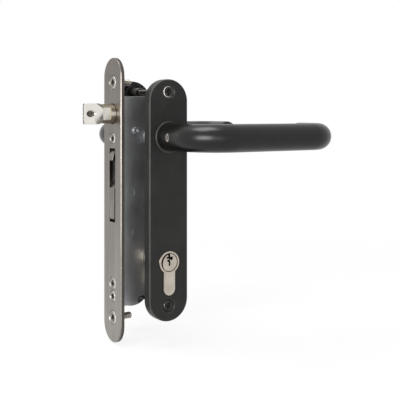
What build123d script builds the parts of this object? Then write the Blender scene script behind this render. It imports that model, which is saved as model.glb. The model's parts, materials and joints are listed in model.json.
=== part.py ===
from build123d import *
from math import cos, hypot, radians, sin, sqrt, tan
import os

os.makedirs("parts", exist_ok=True)

# A narrow insert lock: faceplate, slim case, hook bolt, adjustable latch, profile cylinder and
# a round-bar lever handle on a long plate on each side. All sizes are millimetres.
# +Z is up, +X runs from the faceplate into the lock, and the front handle is at -Y.
# The origin is the middle of the faceplate's back face, halfway between its two fixing screws.

# Layout
backset = 30.0  # faceplate's outer face to the spindle axis
centre_distance = 92.0  # spindle axis to cylinder axis
plate_spacing = 50.0  # between the backs of the two handle plates
spindle_z = 47.5  # spindle axis above the middle of the faceplate

# Clearances
running_gap = 0.05  # shaft in its bearing, on the radius
free_gap = 0.3  # between faces that move past each other
thread_gap = 0.05  # screw in its thread, on the radius
screw_gap = 0.25  # screw through a plain hole, on the radius
seat_gap = 0.05  # fixed piece in its seat, on each side

# Faceplate
faceplate_thickness = 3.0
faceplate_width = 29.0
faceplate_edge = 0.6
faceplate_end = 18.5  # fixing screw to the faceplate's end
fixing_room = 9.6  # case's end to the fixing screw's axis
slot_corner = 0.8

# Lock case
case_thickness = 18.0
case_wall = 1.5
case_front_wall = 3.0
case_head_room = 4.25  # above the latch
case_floor_room = 1.8  # below the cylinder
case_back_room = 1.25  # behind the return spring
case_toe_room = 6.2  # lower case screw to the underside of the toe
case_toe_depth = 14.0
case_corner = 2.0
pillar_diameter = 5.6
pillar_inset = 5.5  # rear pillars to the case's back
pillar_top_drop = 6.0  # below the case's top
pillar_front_x = 12.0
pillar_front_rise = 4.5  # above the spindle axis
pillar_hook_rise = 2.5  # above the hook's pivot
pillar_cam_rise = 22.5  # above the cylinder's axis
pillar_foot_rise = 5.3  # above the underside of the case
cover_screw_diameter = 3.0
cover_screw_length = 8.0
cover_head_diameter = 5.4
cover_head_height = 1.6
cover_head_round = 0.5

# Countersunk screws
fixing_screw_diameter = 5.0
fixing_head_diameter = 9.4
fixing_screw_length = 15.0
case_screw_diameter = 4.0
case_head_diameter = 7.5
case_screw_length = 11.0
case_screw_upper_drop = 18.4  # below the latch axis
case_screw_lower_drop = 9.7  # below the cylinder's fixing screw
cylinder_screw_diameter = 5.0
cylinder_head_diameter = 8.4
plate_screw_diameter = 5.0
plate_head_diameter = 8.4
sleeve_head_diameter = 10.6
head_rim = 0.35  # straight rim above the cone of a countersunk head
head_sink = 0.4  # head's top below the plate's face
screw_point = 0.6
recess_width = 1.1
recess_share = 0.52  # length of the cross recess in head diameters
recess_depth = 1.5

# Latch
latch_rise = 17.0  # latch axis above the spindle axis
latch_diameter = 14.5
latch_hole_gap = 0.5
latch_flat_depth = 1.7
latch_flat_length = 6.0
latch_head_height = 15.4
latch_head_width = 13.0
latch_head_length = 15.8
latch_heel_length = 6.4
latch_travel_gap = 0.4  # head's heel to the faceplate when the latch is drawn back
latch_tip_width = 2.0
latch_tip_corner = 1.5
latch_bevel_bow = 0.9
tongue_length = 12.0
tongue_height = 8.0
tongue_width = 5.0
tongue_front_y = -4.5
latch_slot_length = 7.0
latch_slot_width = 4.7
latch_slot_depth = 1.3
latch_slot_back = 10.0  # heel to the middle of the adjusting slot
lock_screw_diameter = 3.0
lock_head_diameter = 4.2
lock_head_height = 1.0
lock_recess_share = 0.7  # cross recess in the head's width and height
lock_screw_length = 4.0
latch_shank_inner_x = 6.0
latch_bore_depth = 14.0
tail_height = 3.0
tail_width = 5.0
tail_stub_diameter = 4.0
tail_stub_length = 4.0
tail_lug_length = 3.0
tail_lug_width = 8.0
tail_lug_drop = 6.0
bridge_gap = 0.6  # drawn-back shank to the spring bridge
bridge_length = 2.5
bridge_height = 12.0

# Follower that the spindle turns
spindle_width = 8.0
spindle_length = 110.0
spindle_edge = 0.4
lever_turn = 45.0
follower_arm_radius = 12.55
follower_tip_radius = 2.5
follower_arm_width = 3.6
follower_core_radius = 7.2
follower_core_width = 7.0
follower_hub_diameter = 19.0
follower_journal_diameter = 16.0
follower_pad_radius = 10.4
follower_pad_angle = 10.0
follower_pad_round = 2.2
spring_seat_drop = 23.5  # below the spindle axis
spring_seat_thickness = 3.0
spring_seat_length = 9.0
spring_peg_diameter = 3.4
spring_peg_height = 4.0

# Hook bolt
hook_pivot_x = 8.0
hook_pivot_drop = 42.0  # pivot below the spindle axis
hook_pin_diameter = 6.0
hook_bush_diameter = 8.4
hook_swing = 60.0
hook_thickness = 7.5
hook_front_y = -2.8
hook_proud = 1.0  # beak's lower corner outside the faceplate's outer face
hook_top = 32.5  # above the pivot
hook_beak_height = 8.6
hook_beak_bow = 1.1
hook_throat_x = 6.5
hook_lip = 3.0  # throat's lower lip above the pivot
hook_throat_foot = 15.0  # inner end of the throat's slope above the pivot
hook_throat_round = 3.0
hook_back = 9.0  # stem's back behind the pivot
hook_back_round = 4.0
hook_toe = 19.7  # below the pivot
hook_corner = 1.0
hook_edge = 0.3
hook_arm_width = 12.4
hook_arm_length = 17.0  # pivot to the centre of the arm's round end
hook_fork_width = 6.0
hook_slot_width = 10.0

# Profile cylinder
cylinder_diameter = 17.0
cylinder_stem_width = 10.0
cylinder_height = 33.0
cylinder_projection = 1.0
cylinder_gap = 0.3
cylinder_edge = 0.4
plug_diameter = 13.4
plug_sink = 0.3
plug_edge = 0.3
cam_slot_width = 10.0
cam_radius = 13.5
cam_nose_width = 8.0
cam_ring_diameter = 16.4
cam_ring_width = 8.0
cam_turn = 120.0
cam_bore_diameter = 10.0
cam_key_width = 2.4
cam_key_radius = 6.2
cam_sweep_gap = 0.5
cylinder_screw_drop = 18.0  # fixing screw below the cylinder's axis
cylinder_screw_overrun = 4.0  # screw's end behind the cylinder's middle
keyway_width = 1.8
keyway_top = 5.9
keyway_bottom = -3.2
keyway_jog = 1.9
keyway_depth = 26.0
clip_diameter = 12.6
clip_width = 2.0
clip_thickness = 0.55
clip_gap = 0.2
clip_opening = 5.0

# Slide between the cam and the hook
slide_stroke = 20.0
slide_pin_diameter = 5.0
slide_stem_diameter = 4.0
slide_plate_thickness = 3.0
slide_side_gap = 0.4
slide_left_x = 4.5
slide_spine_x = 9.0
slide_spine_width = 4.0
slide_lower_lip = 3.0
slide_upper_lip = 5.0
slide_wall = 1.8
slide_lobe_radius = 5.0
fork_gap = 0.7
guide_stud_diameter = 4.0
guide_stud_end_y = -3.4
guide_lower_x = 8.0
guide_lower_rise = 21.0  # above the cylinder's axis
guide_upper_x = 18.0
guide_upper_drop = 11.5  # below the hook's pivot

# Handle plates
plate_width = 32.0
plate_thickness = 8.0
plate_head_room = 9.3  # upper screw to the plate's end
plate_foot_room = 11.5  # lower screw to the plate's end
plate_edge = 1.0
plate_skin = 3.0
plate_rim = 3.0
plate_boss_wall = 2.0
plate_screw_rise = 3.2  # above the case
plate_screw_drop = 4.2  # below the case

# Lever handles
lever_diameter = 20.0
lever_reach = 50.0  # plate's face to the middle of the grip
lever_length = 117.6  # spindle axis to the outer end
lever_bend = 25.0
lever_return_bend = 15.0
lever_return_gap = 15.0  # free end to the plane of the plate's face
lever_end_round = 3.0
lever_inset = 0.6  # neck's inner end inside the plate's back
bush_wall = 1.6
bush_projection = 1.4
bush_inset = 2.5  # bush's inner end inside the plate's back
bush_edge = 0.5
neck_groove_depth = 0.8
neck_ring_thickness = 0.95
neck_ring_reach = 1.2  # ring outside the neck
neck_ring_opening = 9.0
socket_end_gap = 0.6  # past the spindle's end
grub_diameter = 6.0
grub_reach = 14.0  # in front of the plate's face
grub_sink = 0.6
grub_key = 3.0
grub_key_depth = 2.5
sleeve_diameter = 8.0
sleeve_length = 21.0
sleeve_bore_depth = 18.0
sleeve_engagement = 12.0

# Springs
wire_diameter = 0.9
latch_spring_radius = 3.7
latch_spring_turns = 7
return_spring_radius = 2.4
return_spring_turns = 7

# Places worked out from the sizes above
axis_x = backset - faceplate_thickness
cylinder_z = spindle_z - centre_distance
latch_z = spindle_z + latch_rise
pivot_z = spindle_z - hook_pivot_drop
case_half = case_thickness / 2
cavity_half = case_half - case_wall
return_spring_x = axis_x + follower_pad_radius
cavity_back_x = return_spring_x + return_spring_radius + wire_diameter / 2 + case_back_room
case_depth = cavity_back_x + case_wall
cylinder_screw_z = cylinder_z - cylinder_screw_drop
case_screw_heights = (latch_z - case_screw_upper_drop, cylinder_screw_z - case_screw_lower_drop)
case_top_z = latch_z + latch_diameter / 2 + case_head_room + case_wall
case_bottom_z = cylinder_z - cylinder_height + cylinder_diameter / 2 - case_floor_room - case_wall
case_toe_z = case_screw_heights[1] - case_toe_room
fixing_z = max(case_top_z, -case_toe_z) + fixing_room
fixing_heights = (fixing_z, -fixing_z)
faceplate_height = 2 * (fixing_z + faceplate_end)
plate_back = plate_spacing / 2
plate_face = plate_back + plate_thickness
plate_screw_heights = (case_top_z + plate_screw_rise, case_bottom_z - plate_screw_drop)
plate_top_z = plate_screw_heights[0] + plate_head_room
plate_bottom_z = plate_screw_heights[1] - plate_foot_room
bush_diameter = lever_diameter + 2 * bush_wall
neck_ring_diameter = lever_diameter + 2 * neck_ring_reach
plate_screw_length = plate_face + plate_face - sleeve_length + sleeve_engagement
latch_stroke = 2 * follower_arm_radius * sin(radians(lever_turn / 2))
cylinder_end = plate_face + cylinder_projection

outer_face = Plane(origin=(-faceplate_thickness, 0, 0), x_dir=(0, -1, 0), z_dir=(-1, 0, 0))
front_face = Plane.XZ.offset(plate_face)
rear_face = Plane(origin=(0, plate_face, 0), x_dir=(-1, 0, 0), z_dir=(0, 1, 0))
cover_face = Plane.XZ.offset(case_half)


def countersunk_screw(diameter, head_diameter, length):
    """Screw for a seat at the local origin, its head's top sunk in it and its shank along -Z."""
    cone = (head_diameter - diameter) / 2
    with BuildPart() as screw:
        with BuildSketch(Plane.XZ):
            with BuildLine():
                Polyline(
                    (0, -head_sink),
                    (head_diameter / 2, -head_sink),
                    (head_diameter / 2, -head_sink - head_rim),
                    (diameter / 2, -head_sink - head_rim - cone),
                    (diameter / 2, screw_point - head_sink - length),
                    (diameter / 2 - screw_point, -head_sink - length),
                    (0, -head_sink - length),
                    close=True,
                )
            make_face()
        revolve(axis=Axis.Z)
        with BuildSketch(Plane.XY.offset(-head_sink)):
            Rectangle(head_diameter * recess_share, recess_width)
            Rectangle(recess_width, head_diameter * recess_share)
        extrude(amount=-recess_depth, mode=Mode.SUBTRACT)
    return screw.part


def screw_seat(diameter, head_diameter, depth):
    """Countersunk hole from a plate's face at the local origin along -Z."""
    hole = diameter / 2 + screw_gap
    mouth = head_diameter / 2 + screw_gap + head_rim + head_sink
    with BuildPart() as seat:
        with BuildSketch(Plane.XZ):
            with BuildLine():
                Polyline(
                    (0, 0), (mouth, 0), (hole, hole - mouth), (hole, -depth), (0, -depth), close=True
                )
            make_face()
        revolve(axis=Axis.Z)
    return seat.part


def coil(length, mean_radius, turns):
    """Open coil spring along +Z from the origin, with the wire inside both end planes."""
    rise = length - wire_diameter
    with BuildPart() as spring:
        with BuildLine(Plane.XY) as path:
            Helix(
                pitch=rise / turns, height=rise, radius=mean_radius, center=(0, 0, wire_diameter / 2)
            )
        with BuildSketch(Plane(origin=path.line @ 0, z_dir=path.line % 0)):
            RegularPolygon(wire_diameter / 2, 6)
        sweep(path=path.line, is_frenet=True)
    return spring.part


def euro_profile(gap):
    """Outline of the profile cylinder, made larger all round by gap."""
    stem = cylinder_height - cylinder_diameter / 2 - cylinder_stem_width / 2
    with Locations((axis_x, cylinder_z)):
        Circle(cylinder_diameter / 2 + gap)
    with Locations((axis_x, cylinder_z - stem / 2)):
        Rectangle(cylinder_stem_width + 2 * gap, stem)
    with Locations((axis_x, cylinder_z - stem)):
        Circle(cylinder_stem_width / 2 + gap)


def case_outline(wall, front_wall):
    """Side outline of the case, or of its cavity when the walls are given."""
    with BuildSketch(Plane.XY) as outline:
        with BuildLine():
            FilletPolyline(
                (front_wall, case_top_z - wall),
                (case_depth - wall, case_top_z - wall),
                (case_depth - wall, case_bottom_z + wall),
                (case_toe_depth - wall, case_bottom_z + wall),
                (case_toe_depth - wall, case_toe_z + wall),
                (front_wall, case_toe_z + wall),
                radius=case_corner,
                close=True,
            )
        make_face()
    return outline.sketch


def near(sketch, *points):
    """The sketch's corners nearest to the given points."""
    return [sketch.vertices().sort_by_distance(point)[0] for point in points]


def open_ring(outer_diameter, inner_diameter, opening):
    """Flat retaining ring with an opening at its lower side."""
    Circle(outer_diameter / 2)
    Circle(inner_diameter / 2, mode=Mode.SUBTRACT)
    with Locations((0, -outer_diameter / 2)):
        Rectangle(opening, outer_diameter, mode=Mode.SUBTRACT)


# Hook's reach while it swings, which sets the slots in the faceplate and the case.
hook_outer_x = -faceplate_thickness
hook_toe_radius = hypot(hook_pivot_x - hook_outer_x, hook_toe)
hook_back_radius = hypot(hook_back, hook_top)
slot_top_z = pivot_z + hook_top + 2 * free_gap
slot_bottom_z = pivot_z - sqrt(hook_toe_radius**2 - hook_pivot_x**2) - 3 * free_gap
inner_reach = hook_pivot_x - case_front_wall
case_slot_top_z = pivot_z + sqrt(hook_back_radius**2 - inner_reach**2) + 2 * free_gap
case_slot_bottom_z = pivot_z - sqrt(hook_toe_radius**2 - inner_reach**2) - 2 * free_gap

# Faceplate with rounded ends, drilled for the latch, the hook and five screws.
with BuildPart() as faceplate:
    with BuildSketch(Plane.YZ):
        SlotOverall(faceplate_height, faceplate_width, rotation=90)
    extrude(amount=-faceplate_thickness)
    chamfer(faceplate.faces().sort_by(Axis.X)[0].outer_wire().edges(), faceplate_edge)
    with BuildSketch(Plane.YZ):
        with Locations((0, latch_z)):
            Circle(latch_diameter / 2 + latch_hole_gap)
        with Locations((0, (slot_top_z + slot_bottom_z) / 2)):
            RectangleRounded(hook_slot_width, slot_top_z - slot_bottom_z, slot_corner)
    extrude(amount=-faceplate_thickness, mode=Mode.SUBTRACT)
    with Locations(outer_face):
        with Locations(*[(0, height) for height in fixing_heights]):
            add(
                screw_seat(fixing_screw_diameter, fixing_head_diameter, 2 * faceplate_thickness),
                mode=Mode.SUBTRACT,
            )
        with Locations(*[(0, height) for height in case_screw_heights]):
            add(
                screw_seat(case_screw_diameter, case_head_diameter, 2 * faceplate_thickness),
                mode=Mode.SUBTRACT,
            )
        with Locations((0, cylinder_screw_z)):
            add(
                screw_seat(cylinder_screw_diameter, cylinder_head_diameter, 2 * faceplate_thickness),
                mode=Mode.SUBTRACT,
            )
faceplate.part.label = "faceplate"
export_step(faceplate.part, "parts/faceplate.step")

# Screws that hold the faceplate at its two ends.
with BuildPart() as faceplate_screws:
    with Locations(outer_face):
        with Locations(*[(0, height) for height in fixing_heights]):
            add(countersunk_screw(fixing_screw_diameter, fixing_head_diameter, fixing_screw_length))
faceplate_screws.part.label = "faceplate_screws"
export_step(faceplate_screws.part, "parts/faceplate_screws.step")

# Screws that hold the case to the faceplate.
with BuildPart() as case_screws:
    with Locations(outer_face):
        with Locations(*[(0, height) for height in case_screw_heights]):
            add(countersunk_screw(case_screw_diameter, case_head_diameter, case_screw_length))
case_screws.part.label = "case_screws"
export_step(case_screws.part, "parts/case_screws.step")

# Long screw through the faceplate that holds the cylinder by the web under its cam.
with BuildPart() as cylinder_screw:
    with Locations(outer_face):
        with Locations((0, cylinder_screw_z)):
            add(
                countersunk_screw(
                    cylinder_screw_diameter, cylinder_head_diameter, backset + cylinder_screw_overrun
                )
            )
cylinder_screw.part.label = "cylinder_screw"
export_step(cylinder_screw.part, "parts/cylinder_screw.step")

# Open tray of the lock case: front wall, three narrow walls and the rear side.
with BuildPart() as case_shell:
    with BuildSketch(Plane.XZ.offset(-case_half)):
        add(case_outline(0, 0))
    extrude(amount=case_thickness - case_wall)
    with BuildSketch(Plane.XZ.offset(-cavity_half)):
        add(case_outline(case_wall, case_front_wall))
    extrude(amount=2 * cavity_half, mode=Mode.SUBTRACT)
    with BuildSketch(Plane.YZ):
        with Locations((0, latch_z)):
            Circle(latch_diameter / 2 + running_gap)
        with Locations((0, (case_slot_top_z + case_slot_bottom_z) / 2)):
            RectangleRounded(hook_slot_width + 1, case_slot_top_z - case_slot_bottom_z, slot_corner)
        with Locations(*[(0, height) for height in case_screw_heights]):
            Circle(case_screw_diameter / 2 + thread_gap)
        with Locations((0, cylinder_screw_z)):
            Circle(cylinder_screw_diameter / 2 + screw_gap)
    extrude(amount=case_front_wall, mode=Mode.SUBTRACT)
    with BuildSketch(Plane.XZ.offset(-case_half)):
        with Locations((axis_x, spindle_z)):
            Circle(follower_journal_diameter / 2 + running_gap)
        with Locations((hook_pivot_x, pivot_z)):
            Circle(hook_pin_diameter / 2 + seat_gap)
        euro_profile(cylinder_gap)
    extrude(amount=case_wall, mode=Mode.SUBTRACT)
case_shell.part.label = "case_shell"
export_step(case_shell.part, "parts/case_shell.step")

# Pillars that hold the cover at its distance, threaded for the cover screws.
rear_pillar_x = case_depth - pillar_inset
pillar_places = [
    (rear_pillar_x, case_top_z - pillar_top_drop),
    (pillar_front_x, spindle_z + pillar_front_rise),
    (rear_pillar_x, pivot_z + pillar_hook_rise),
    (rear_pillar_x, cylinder_z + pillar_cam_rise),
    (rear_pillar_x, case_bottom_z + pillar_foot_rise),
]
with BuildPart() as case_pillars:
    with BuildSketch(Plane.XZ.offset(-cavity_half)):
        with Locations(*pillar_places):
            Circle(pillar_diameter / 2)
    extrude(amount=2 * cavity_half)
    with BuildSketch(Plane.XZ.offset(cavity_half)):
        with Locations(*pillar_places):
            Circle(cover_screw_diameter / 2 + thread_gap)
    extrude(amount=-cover_screw_length, mode=Mode.SUBTRACT)
case_pillars.part.label = "case_pillars"
export_step(case_pillars.part, "parts/case_pillars.step")

# Flat cover on the front side of the case.
guide_lower_z = cylinder_z + guide_lower_rise
guide_upper_z = pivot_z - guide_upper_drop
guide_places = [(guide_lower_x, guide_lower_z), (guide_upper_x, guide_upper_z)]
with BuildPart() as case_cover:
    with BuildSketch(Plane.XZ.offset(cavity_half)):
        add(case_outline(0, 0))
    extrude(amount=case_wall)
    with BuildSketch(Plane.XZ.offset(cavity_half)):
        with Locations((axis_x, spindle_z)):
            Circle(follower_journal_diameter / 2 + running_gap)
        with Locations((hook_pivot_x, pivot_z)):
            Circle(hook_pin_diameter / 2 + seat_gap)
        with Locations(*pillar_places):
            Circle(cover_screw_diameter / 2 + screw_gap)
        with Locations(*guide_places):
            Circle(guide_stud_diameter / 2 + seat_gap)
        euro_profile(cylinder_gap)
    extrude(amount=case_wall, mode=Mode.SUBTRACT)
case_cover.part.label = "case_cover"
export_step(case_cover.part, "parts/case_cover.step")

# Pan-head screws that hold the cover on the pillars.
with BuildPart() as cover_screws:
    with BuildSketch(cover_face):
        with Locations(*pillar_places):
            Circle(cover_head_diameter / 2)
    extrude(amount=cover_head_height)
    fillet(cover_screws.faces().group_by(Axis.Y)[0].edges(), cover_head_round)
    with BuildSketch(cover_face):
        with Locations(*pillar_places):
            Circle(cover_screw_diameter / 2)
    extrude(amount=-(cover_screw_length + case_wall - screw_point))
    with BuildSketch(cover_face.offset(cover_head_height)):
        with Locations(*pillar_places):
            Rectangle(cover_head_diameter * recess_share, recess_width)
            Rectangle(recess_width, cover_head_diameter * recess_share)
    extrude(amount=-recess_depth, mode=Mode.SUBTRACT)
cover_screws.part.label = "cover_screws"
export_step(cover_screws.part, "parts/cover_screws.step")

# Round latch shank with a flat in front, a bore for its spring and a tongue for the head.
heel_x = -faceplate_thickness - latch_stroke - latch_travel_gap
tip_x = heel_x - latch_head_length
bore_end_x = latch_shank_inner_x - latch_bore_depth
latch_slot_x = heel_x - latch_slot_back
tongue_y = tongue_front_y + tongue_width / 2
with BuildPart() as latch_shank:
    with BuildSketch(Plane.YZ.offset(heel_x)):
        with Locations((0, latch_z)):
            Circle(latch_diameter / 2)
    extrude(amount=latch_shank_inner_x - heel_x)
    with BuildSketch(Plane.YZ.offset(heel_x)):
        with Locations((tongue_y, latch_z)):
            Rectangle(tongue_width, tongue_height)
    extrude(amount=-tongue_length)
    with BuildSketch(Plane.YZ.offset(latch_shank_inner_x)):
        with Locations((0, latch_z)):
            Circle(latch_spring_radius + wire_diameter / 2 + free_gap)
    extrude(amount=-latch_bore_depth, mode=Mode.SUBTRACT)
    with BuildSketch(Plane.YZ.offset(bore_end_x)):
        with Locations((0, latch_z)):
            Circle(tail_stub_diameter / 2 + seat_gap)
    extrude(amount=-tail_stub_length - seat_gap, mode=Mode.SUBTRACT)
    with BuildSketch(Plane.XZ.offset(latch_diameter / 2)):
        with Locations((heel_x, latch_z)):
            Rectangle(latch_flat_length, latch_diameter, align=(Align.MIN, Align.CENTER))
    extrude(amount=-latch_flat_depth, mode=Mode.SUBTRACT)
    with BuildSketch(Plane.XZ.offset(-tongue_front_y)):
        with Locations((latch_slot_x, latch_z)):
            Circle(lock_screw_diameter / 2 + thread_gap)
    extrude(amount=-tongue_width, mode=Mode.SUBTRACT)
latch_shank.part.label = "latch_shank"
export_step(latch_shank.part, "parts/latch_shank.step")

# Latch head: flat in front, bevelled behind, its heel turned down to the round shank.
heel_start_x = heel_x - latch_heel_length
head_front_y = -latch_head_width / 2
head_corner_radius = hypot(latch_head_width, latch_head_height) / 2
with BuildPart() as latch_head:
    with BuildSketch(Plane.XY.offset(latch_z - latch_head_height / 2)):
        with BuildLine():
            Line((heel_x, head_front_y), (tip_x, head_front_y))
            Line((tip_x, head_front_y), (tip_x, head_front_y + latch_tip_width))
            ThreePointArc(
                (tip_x, head_front_y + latch_tip_width),
                (
                    (tip_x + heel_start_x) / 2 - latch_bevel_bow,
                    latch_tip_width / 2 + latch_bevel_bow,
                ),
                (heel_start_x, -head_front_y),
            )
            Line((heel_start_x, -head_front_y), (heel_x, -head_front_y))
            Line((heel_x, -head_front_y), (heel_x, head_front_y))
        make_face()
    extrude(amount=latch_head_height)
    tip_face = latch_head.faces().sort_by(Axis.X)[0]
    chamfer(tip_face.edges().filter_by(Axis.Y), latch_tip_corner)
    with BuildSketch(Plane(origin=(0, 0, latch_z))):
        with BuildLine():
            Line((tip_x, 0), (tip_x, head_corner_radius))
            Line((tip_x, head_corner_radius), (heel_start_x, head_corner_radius))
            Line((heel_start_x, head_corner_radius), (heel_x, latch_diameter / 2))
            Line((heel_x, latch_diameter / 2), (heel_x, 0))
            Line((heel_x, 0), (tip_x, 0))
        make_face()
    revolve(axis=Axis((0, 0, latch_z), (1, 0, 0)), mode=Mode.INTERSECT)
    with BuildSketch(Plane.YZ.offset(heel_x)):
        with Locations((tongue_y, latch_z)):
            Rectangle(tongue_width + 2 * seat_gap, tongue_height + 2 * seat_gap)
    extrude(amount=-tongue_length - free_gap, mode=Mode.SUBTRACT)
    with BuildSketch(Plane.XZ.offset(-head_front_y)):
        with Locations((latch_slot_x, latch_z)):
            SlotOverall(latch_slot_length, latch_slot_width)
    extrude(amount=-latch_slot_depth, mode=Mode.SUBTRACT)
    with BuildSketch(Plane.XZ.offset(-head_front_y - latch_slot_depth)):
        with Locations((latch_slot_x, latch_z)):
            SlotOverall(
                latch_slot_length - latch_slot_depth, lock_screw_diameter + 2 * screw_gap
            )
    extrude(amount=-latch_slot_depth, mode=Mode.SUBTRACT)
latch_head.part.label = "latch_head"
export_step(latch_head.part, "parts/latch_head.step")

# Small screw in the adjusting slot that clamps the latch head on the tongue.
lock_seat = Plane.XZ.offset(-head_front_y - latch_slot_depth)
with BuildPart() as latch_lock_screw:
    with BuildSketch(lock_seat):
        with Locations((latch_slot_x, latch_z)):
            Circle(lock_head_diameter / 2)
    extrude(amount=lock_head_height)
    with BuildSketch(lock_seat):
        with Locations((latch_slot_x, latch_z)):
            Circle(lock_screw_diameter / 2)
    extrude(amount=-lock_screw_length)
    with BuildSketch(lock_seat.offset(lock_head_height)):
        with Locations((latch_slot_x, latch_z)):
            Rectangle(lock_head_diameter * lock_recess_share, lock_head_height * lock_recess_share)
            Rectangle(lock_head_height * lock_recess_share, lock_head_diameter * lock_recess_share)
    extrude(amount=-lock_head_height * lock_recess_share, mode=Mode.SUBTRACT)
latch_lock_screw.part.label = "latch_lock_screw"
export_step(latch_lock_screw.part, "parts/latch_lock_screw.step")

# Flat latch tail that passes through the spring and its bridge, with a lug for the follower.
half_turn = radians(lever_turn / 2)
arm_tip_x = axis_x - follower_arm_radius * sin(half_turn)
lug_x = arm_tip_x + follower_tip_radius + free_gap
with BuildPart() as latch_tail:
    with BuildSketch(Plane.YZ.offset(bore_end_x)):
        with Locations((0, latch_z)):
            Rectangle(tail_width, tail_height)
    extrude(amount=lug_x + tail_lug_length - bore_end_x)
    with BuildSketch(Plane.YZ.offset(bore_end_x)):
        with Locations((0, latch_z)):
            Circle(tail_stub_diameter / 2)
    extrude(amount=-tail_stub_length)
    with BuildSketch(Plane.YZ.offset(lug_x)):
        with Locations((0, latch_z + tail_height / 2)):
            Rectangle(
                tail_lug_width, tail_height / 2 + tail_lug_drop, align=(Align.CENTER, Align.MAX)
            )
    extrude(amount=tail_lug_length)
latch_tail.part.label = "latch_tail"
export_step(latch_tail.part, "parts/latch_tail.step")

# Bridge in the case that guides the tail and carries the latch spring.
bridge_x = latch_shank_inner_x + latch_stroke + bridge_gap
with BuildPart() as spring_bridge:
    with BuildSketch(Plane.YZ.offset(bridge_x)):
        with Locations((0, latch_z)):
            Rectangle(2 * (cavity_half - seat_gap), bridge_height)
            Rectangle(
                tail_width + 2 * free_gap, tail_height + 2 * free_gap, mode=Mode.SUBTRACT
            )
    extrude(amount=bridge_length)
spring_bridge.part.label = "spring_bridge"
export_step(spring_bridge.part, "parts/spring_bridge.step")

# Latch spring between the shank's bore and the bridge.
with BuildPart() as latch_spring:
    with Locations(Plane(origin=(bore_end_x, 0, latch_z), z_dir=(1, 0, 0))):
        add(coil(bridge_x - bore_end_x, latch_spring_radius, latch_spring_turns))
latch_spring.part.label = "latch_spring"
export_step(latch_spring.part, "parts/latch_spring.step")

# Follower on the spindle: an upper arm draws the latch, a side pad presses its return spring.
hub_half = cavity_half - free_gap
pad_x = axis_x + follower_pad_radius * cos(radians(follower_pad_angle))
pad_z = spindle_z + follower_pad_radius * sin(radians(follower_pad_angle))
arm_tip_z = spindle_z + follower_arm_radius * cos(half_turn)
with BuildPart() as follower:
    with BuildSketch(Plane.XZ.offset(-follower_core_width / 2)):
        with Locations((axis_x, spindle_z)):
            Circle(follower_core_radius)
        SlotCenterPoint(
            ((axis_x + arm_tip_x) / 2, (spindle_z + arm_tip_z) / 2),
            (arm_tip_x, arm_tip_z),
            follower_arm_width,
        )
        with Locations((arm_tip_x, arm_tip_z)):
            Circle(follower_tip_radius)
        SlotCenterPoint(
            ((axis_x + pad_x) / 2, (spindle_z + pad_z) / 2), (pad_x, pad_z), 2 * follower_pad_round
        )
    extrude(amount=follower_core_width)
    for side in (1, -1):
        with BuildSketch(Plane.XZ.offset(side * follower_core_width / 2)):
            with Locations((axis_x, spindle_z)):
                Circle(follower_hub_diameter / 2)
        extrude(amount=side * (hub_half - follower_core_width / 2))
    with BuildSketch(Plane.XZ.offset(-case_half)):
        with Locations((axis_x, spindle_z)):
            Circle(follower_journal_diameter / 2)
    extrude(amount=case_thickness)
    with BuildSketch(Plane.XZ.offset(-case_half)):
        with Locations((axis_x, spindle_z)):
            Rectangle(spindle_width + 2 * seat_gap, spindle_width + 2 * seat_gap)
    extrude(amount=case_thickness, mode=Mode.SUBTRACT)
follower.part.label = "follower"
export_step(follower.part, "parts/follower.step")

# Seat in the case with a peg that centres the return spring.
spring_seat_z = spindle_z - spring_seat_drop
with BuildPart() as spring_seat:
    with BuildSketch(Plane.XY.offset(spring_seat_z)):
        with Locations((cavity_back_x - seat_gap, 0)):
            Rectangle(
                spring_seat_length, 2 * (cavity_half - seat_gap), align=(Align.MAX, Align.CENTER)
            )
    extrude(amount=-spring_seat_thickness)
    with BuildSketch(Plane.XY.offset(spring_seat_z)):
        with Locations((return_spring_x, 0)):
            Circle(spring_peg_diameter / 2)
    extrude(amount=spring_peg_height)
spring_seat.part.label = "spring_seat"
export_step(spring_seat.part, "parts/spring_seat.step")

# Return spring under the follower's pad.
with BuildPart() as return_spring:
    with Locations((return_spring_x, 0, spring_seat_z)):
        add(
            coil(
                pad_z - follower_pad_round - free_gap - spring_seat_z,
                return_spring_radius,
                return_spring_turns,
            )
        )
return_spring.part.label = "return_spring"
export_step(return_spring.part, "parts/return_spring.step")

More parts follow.
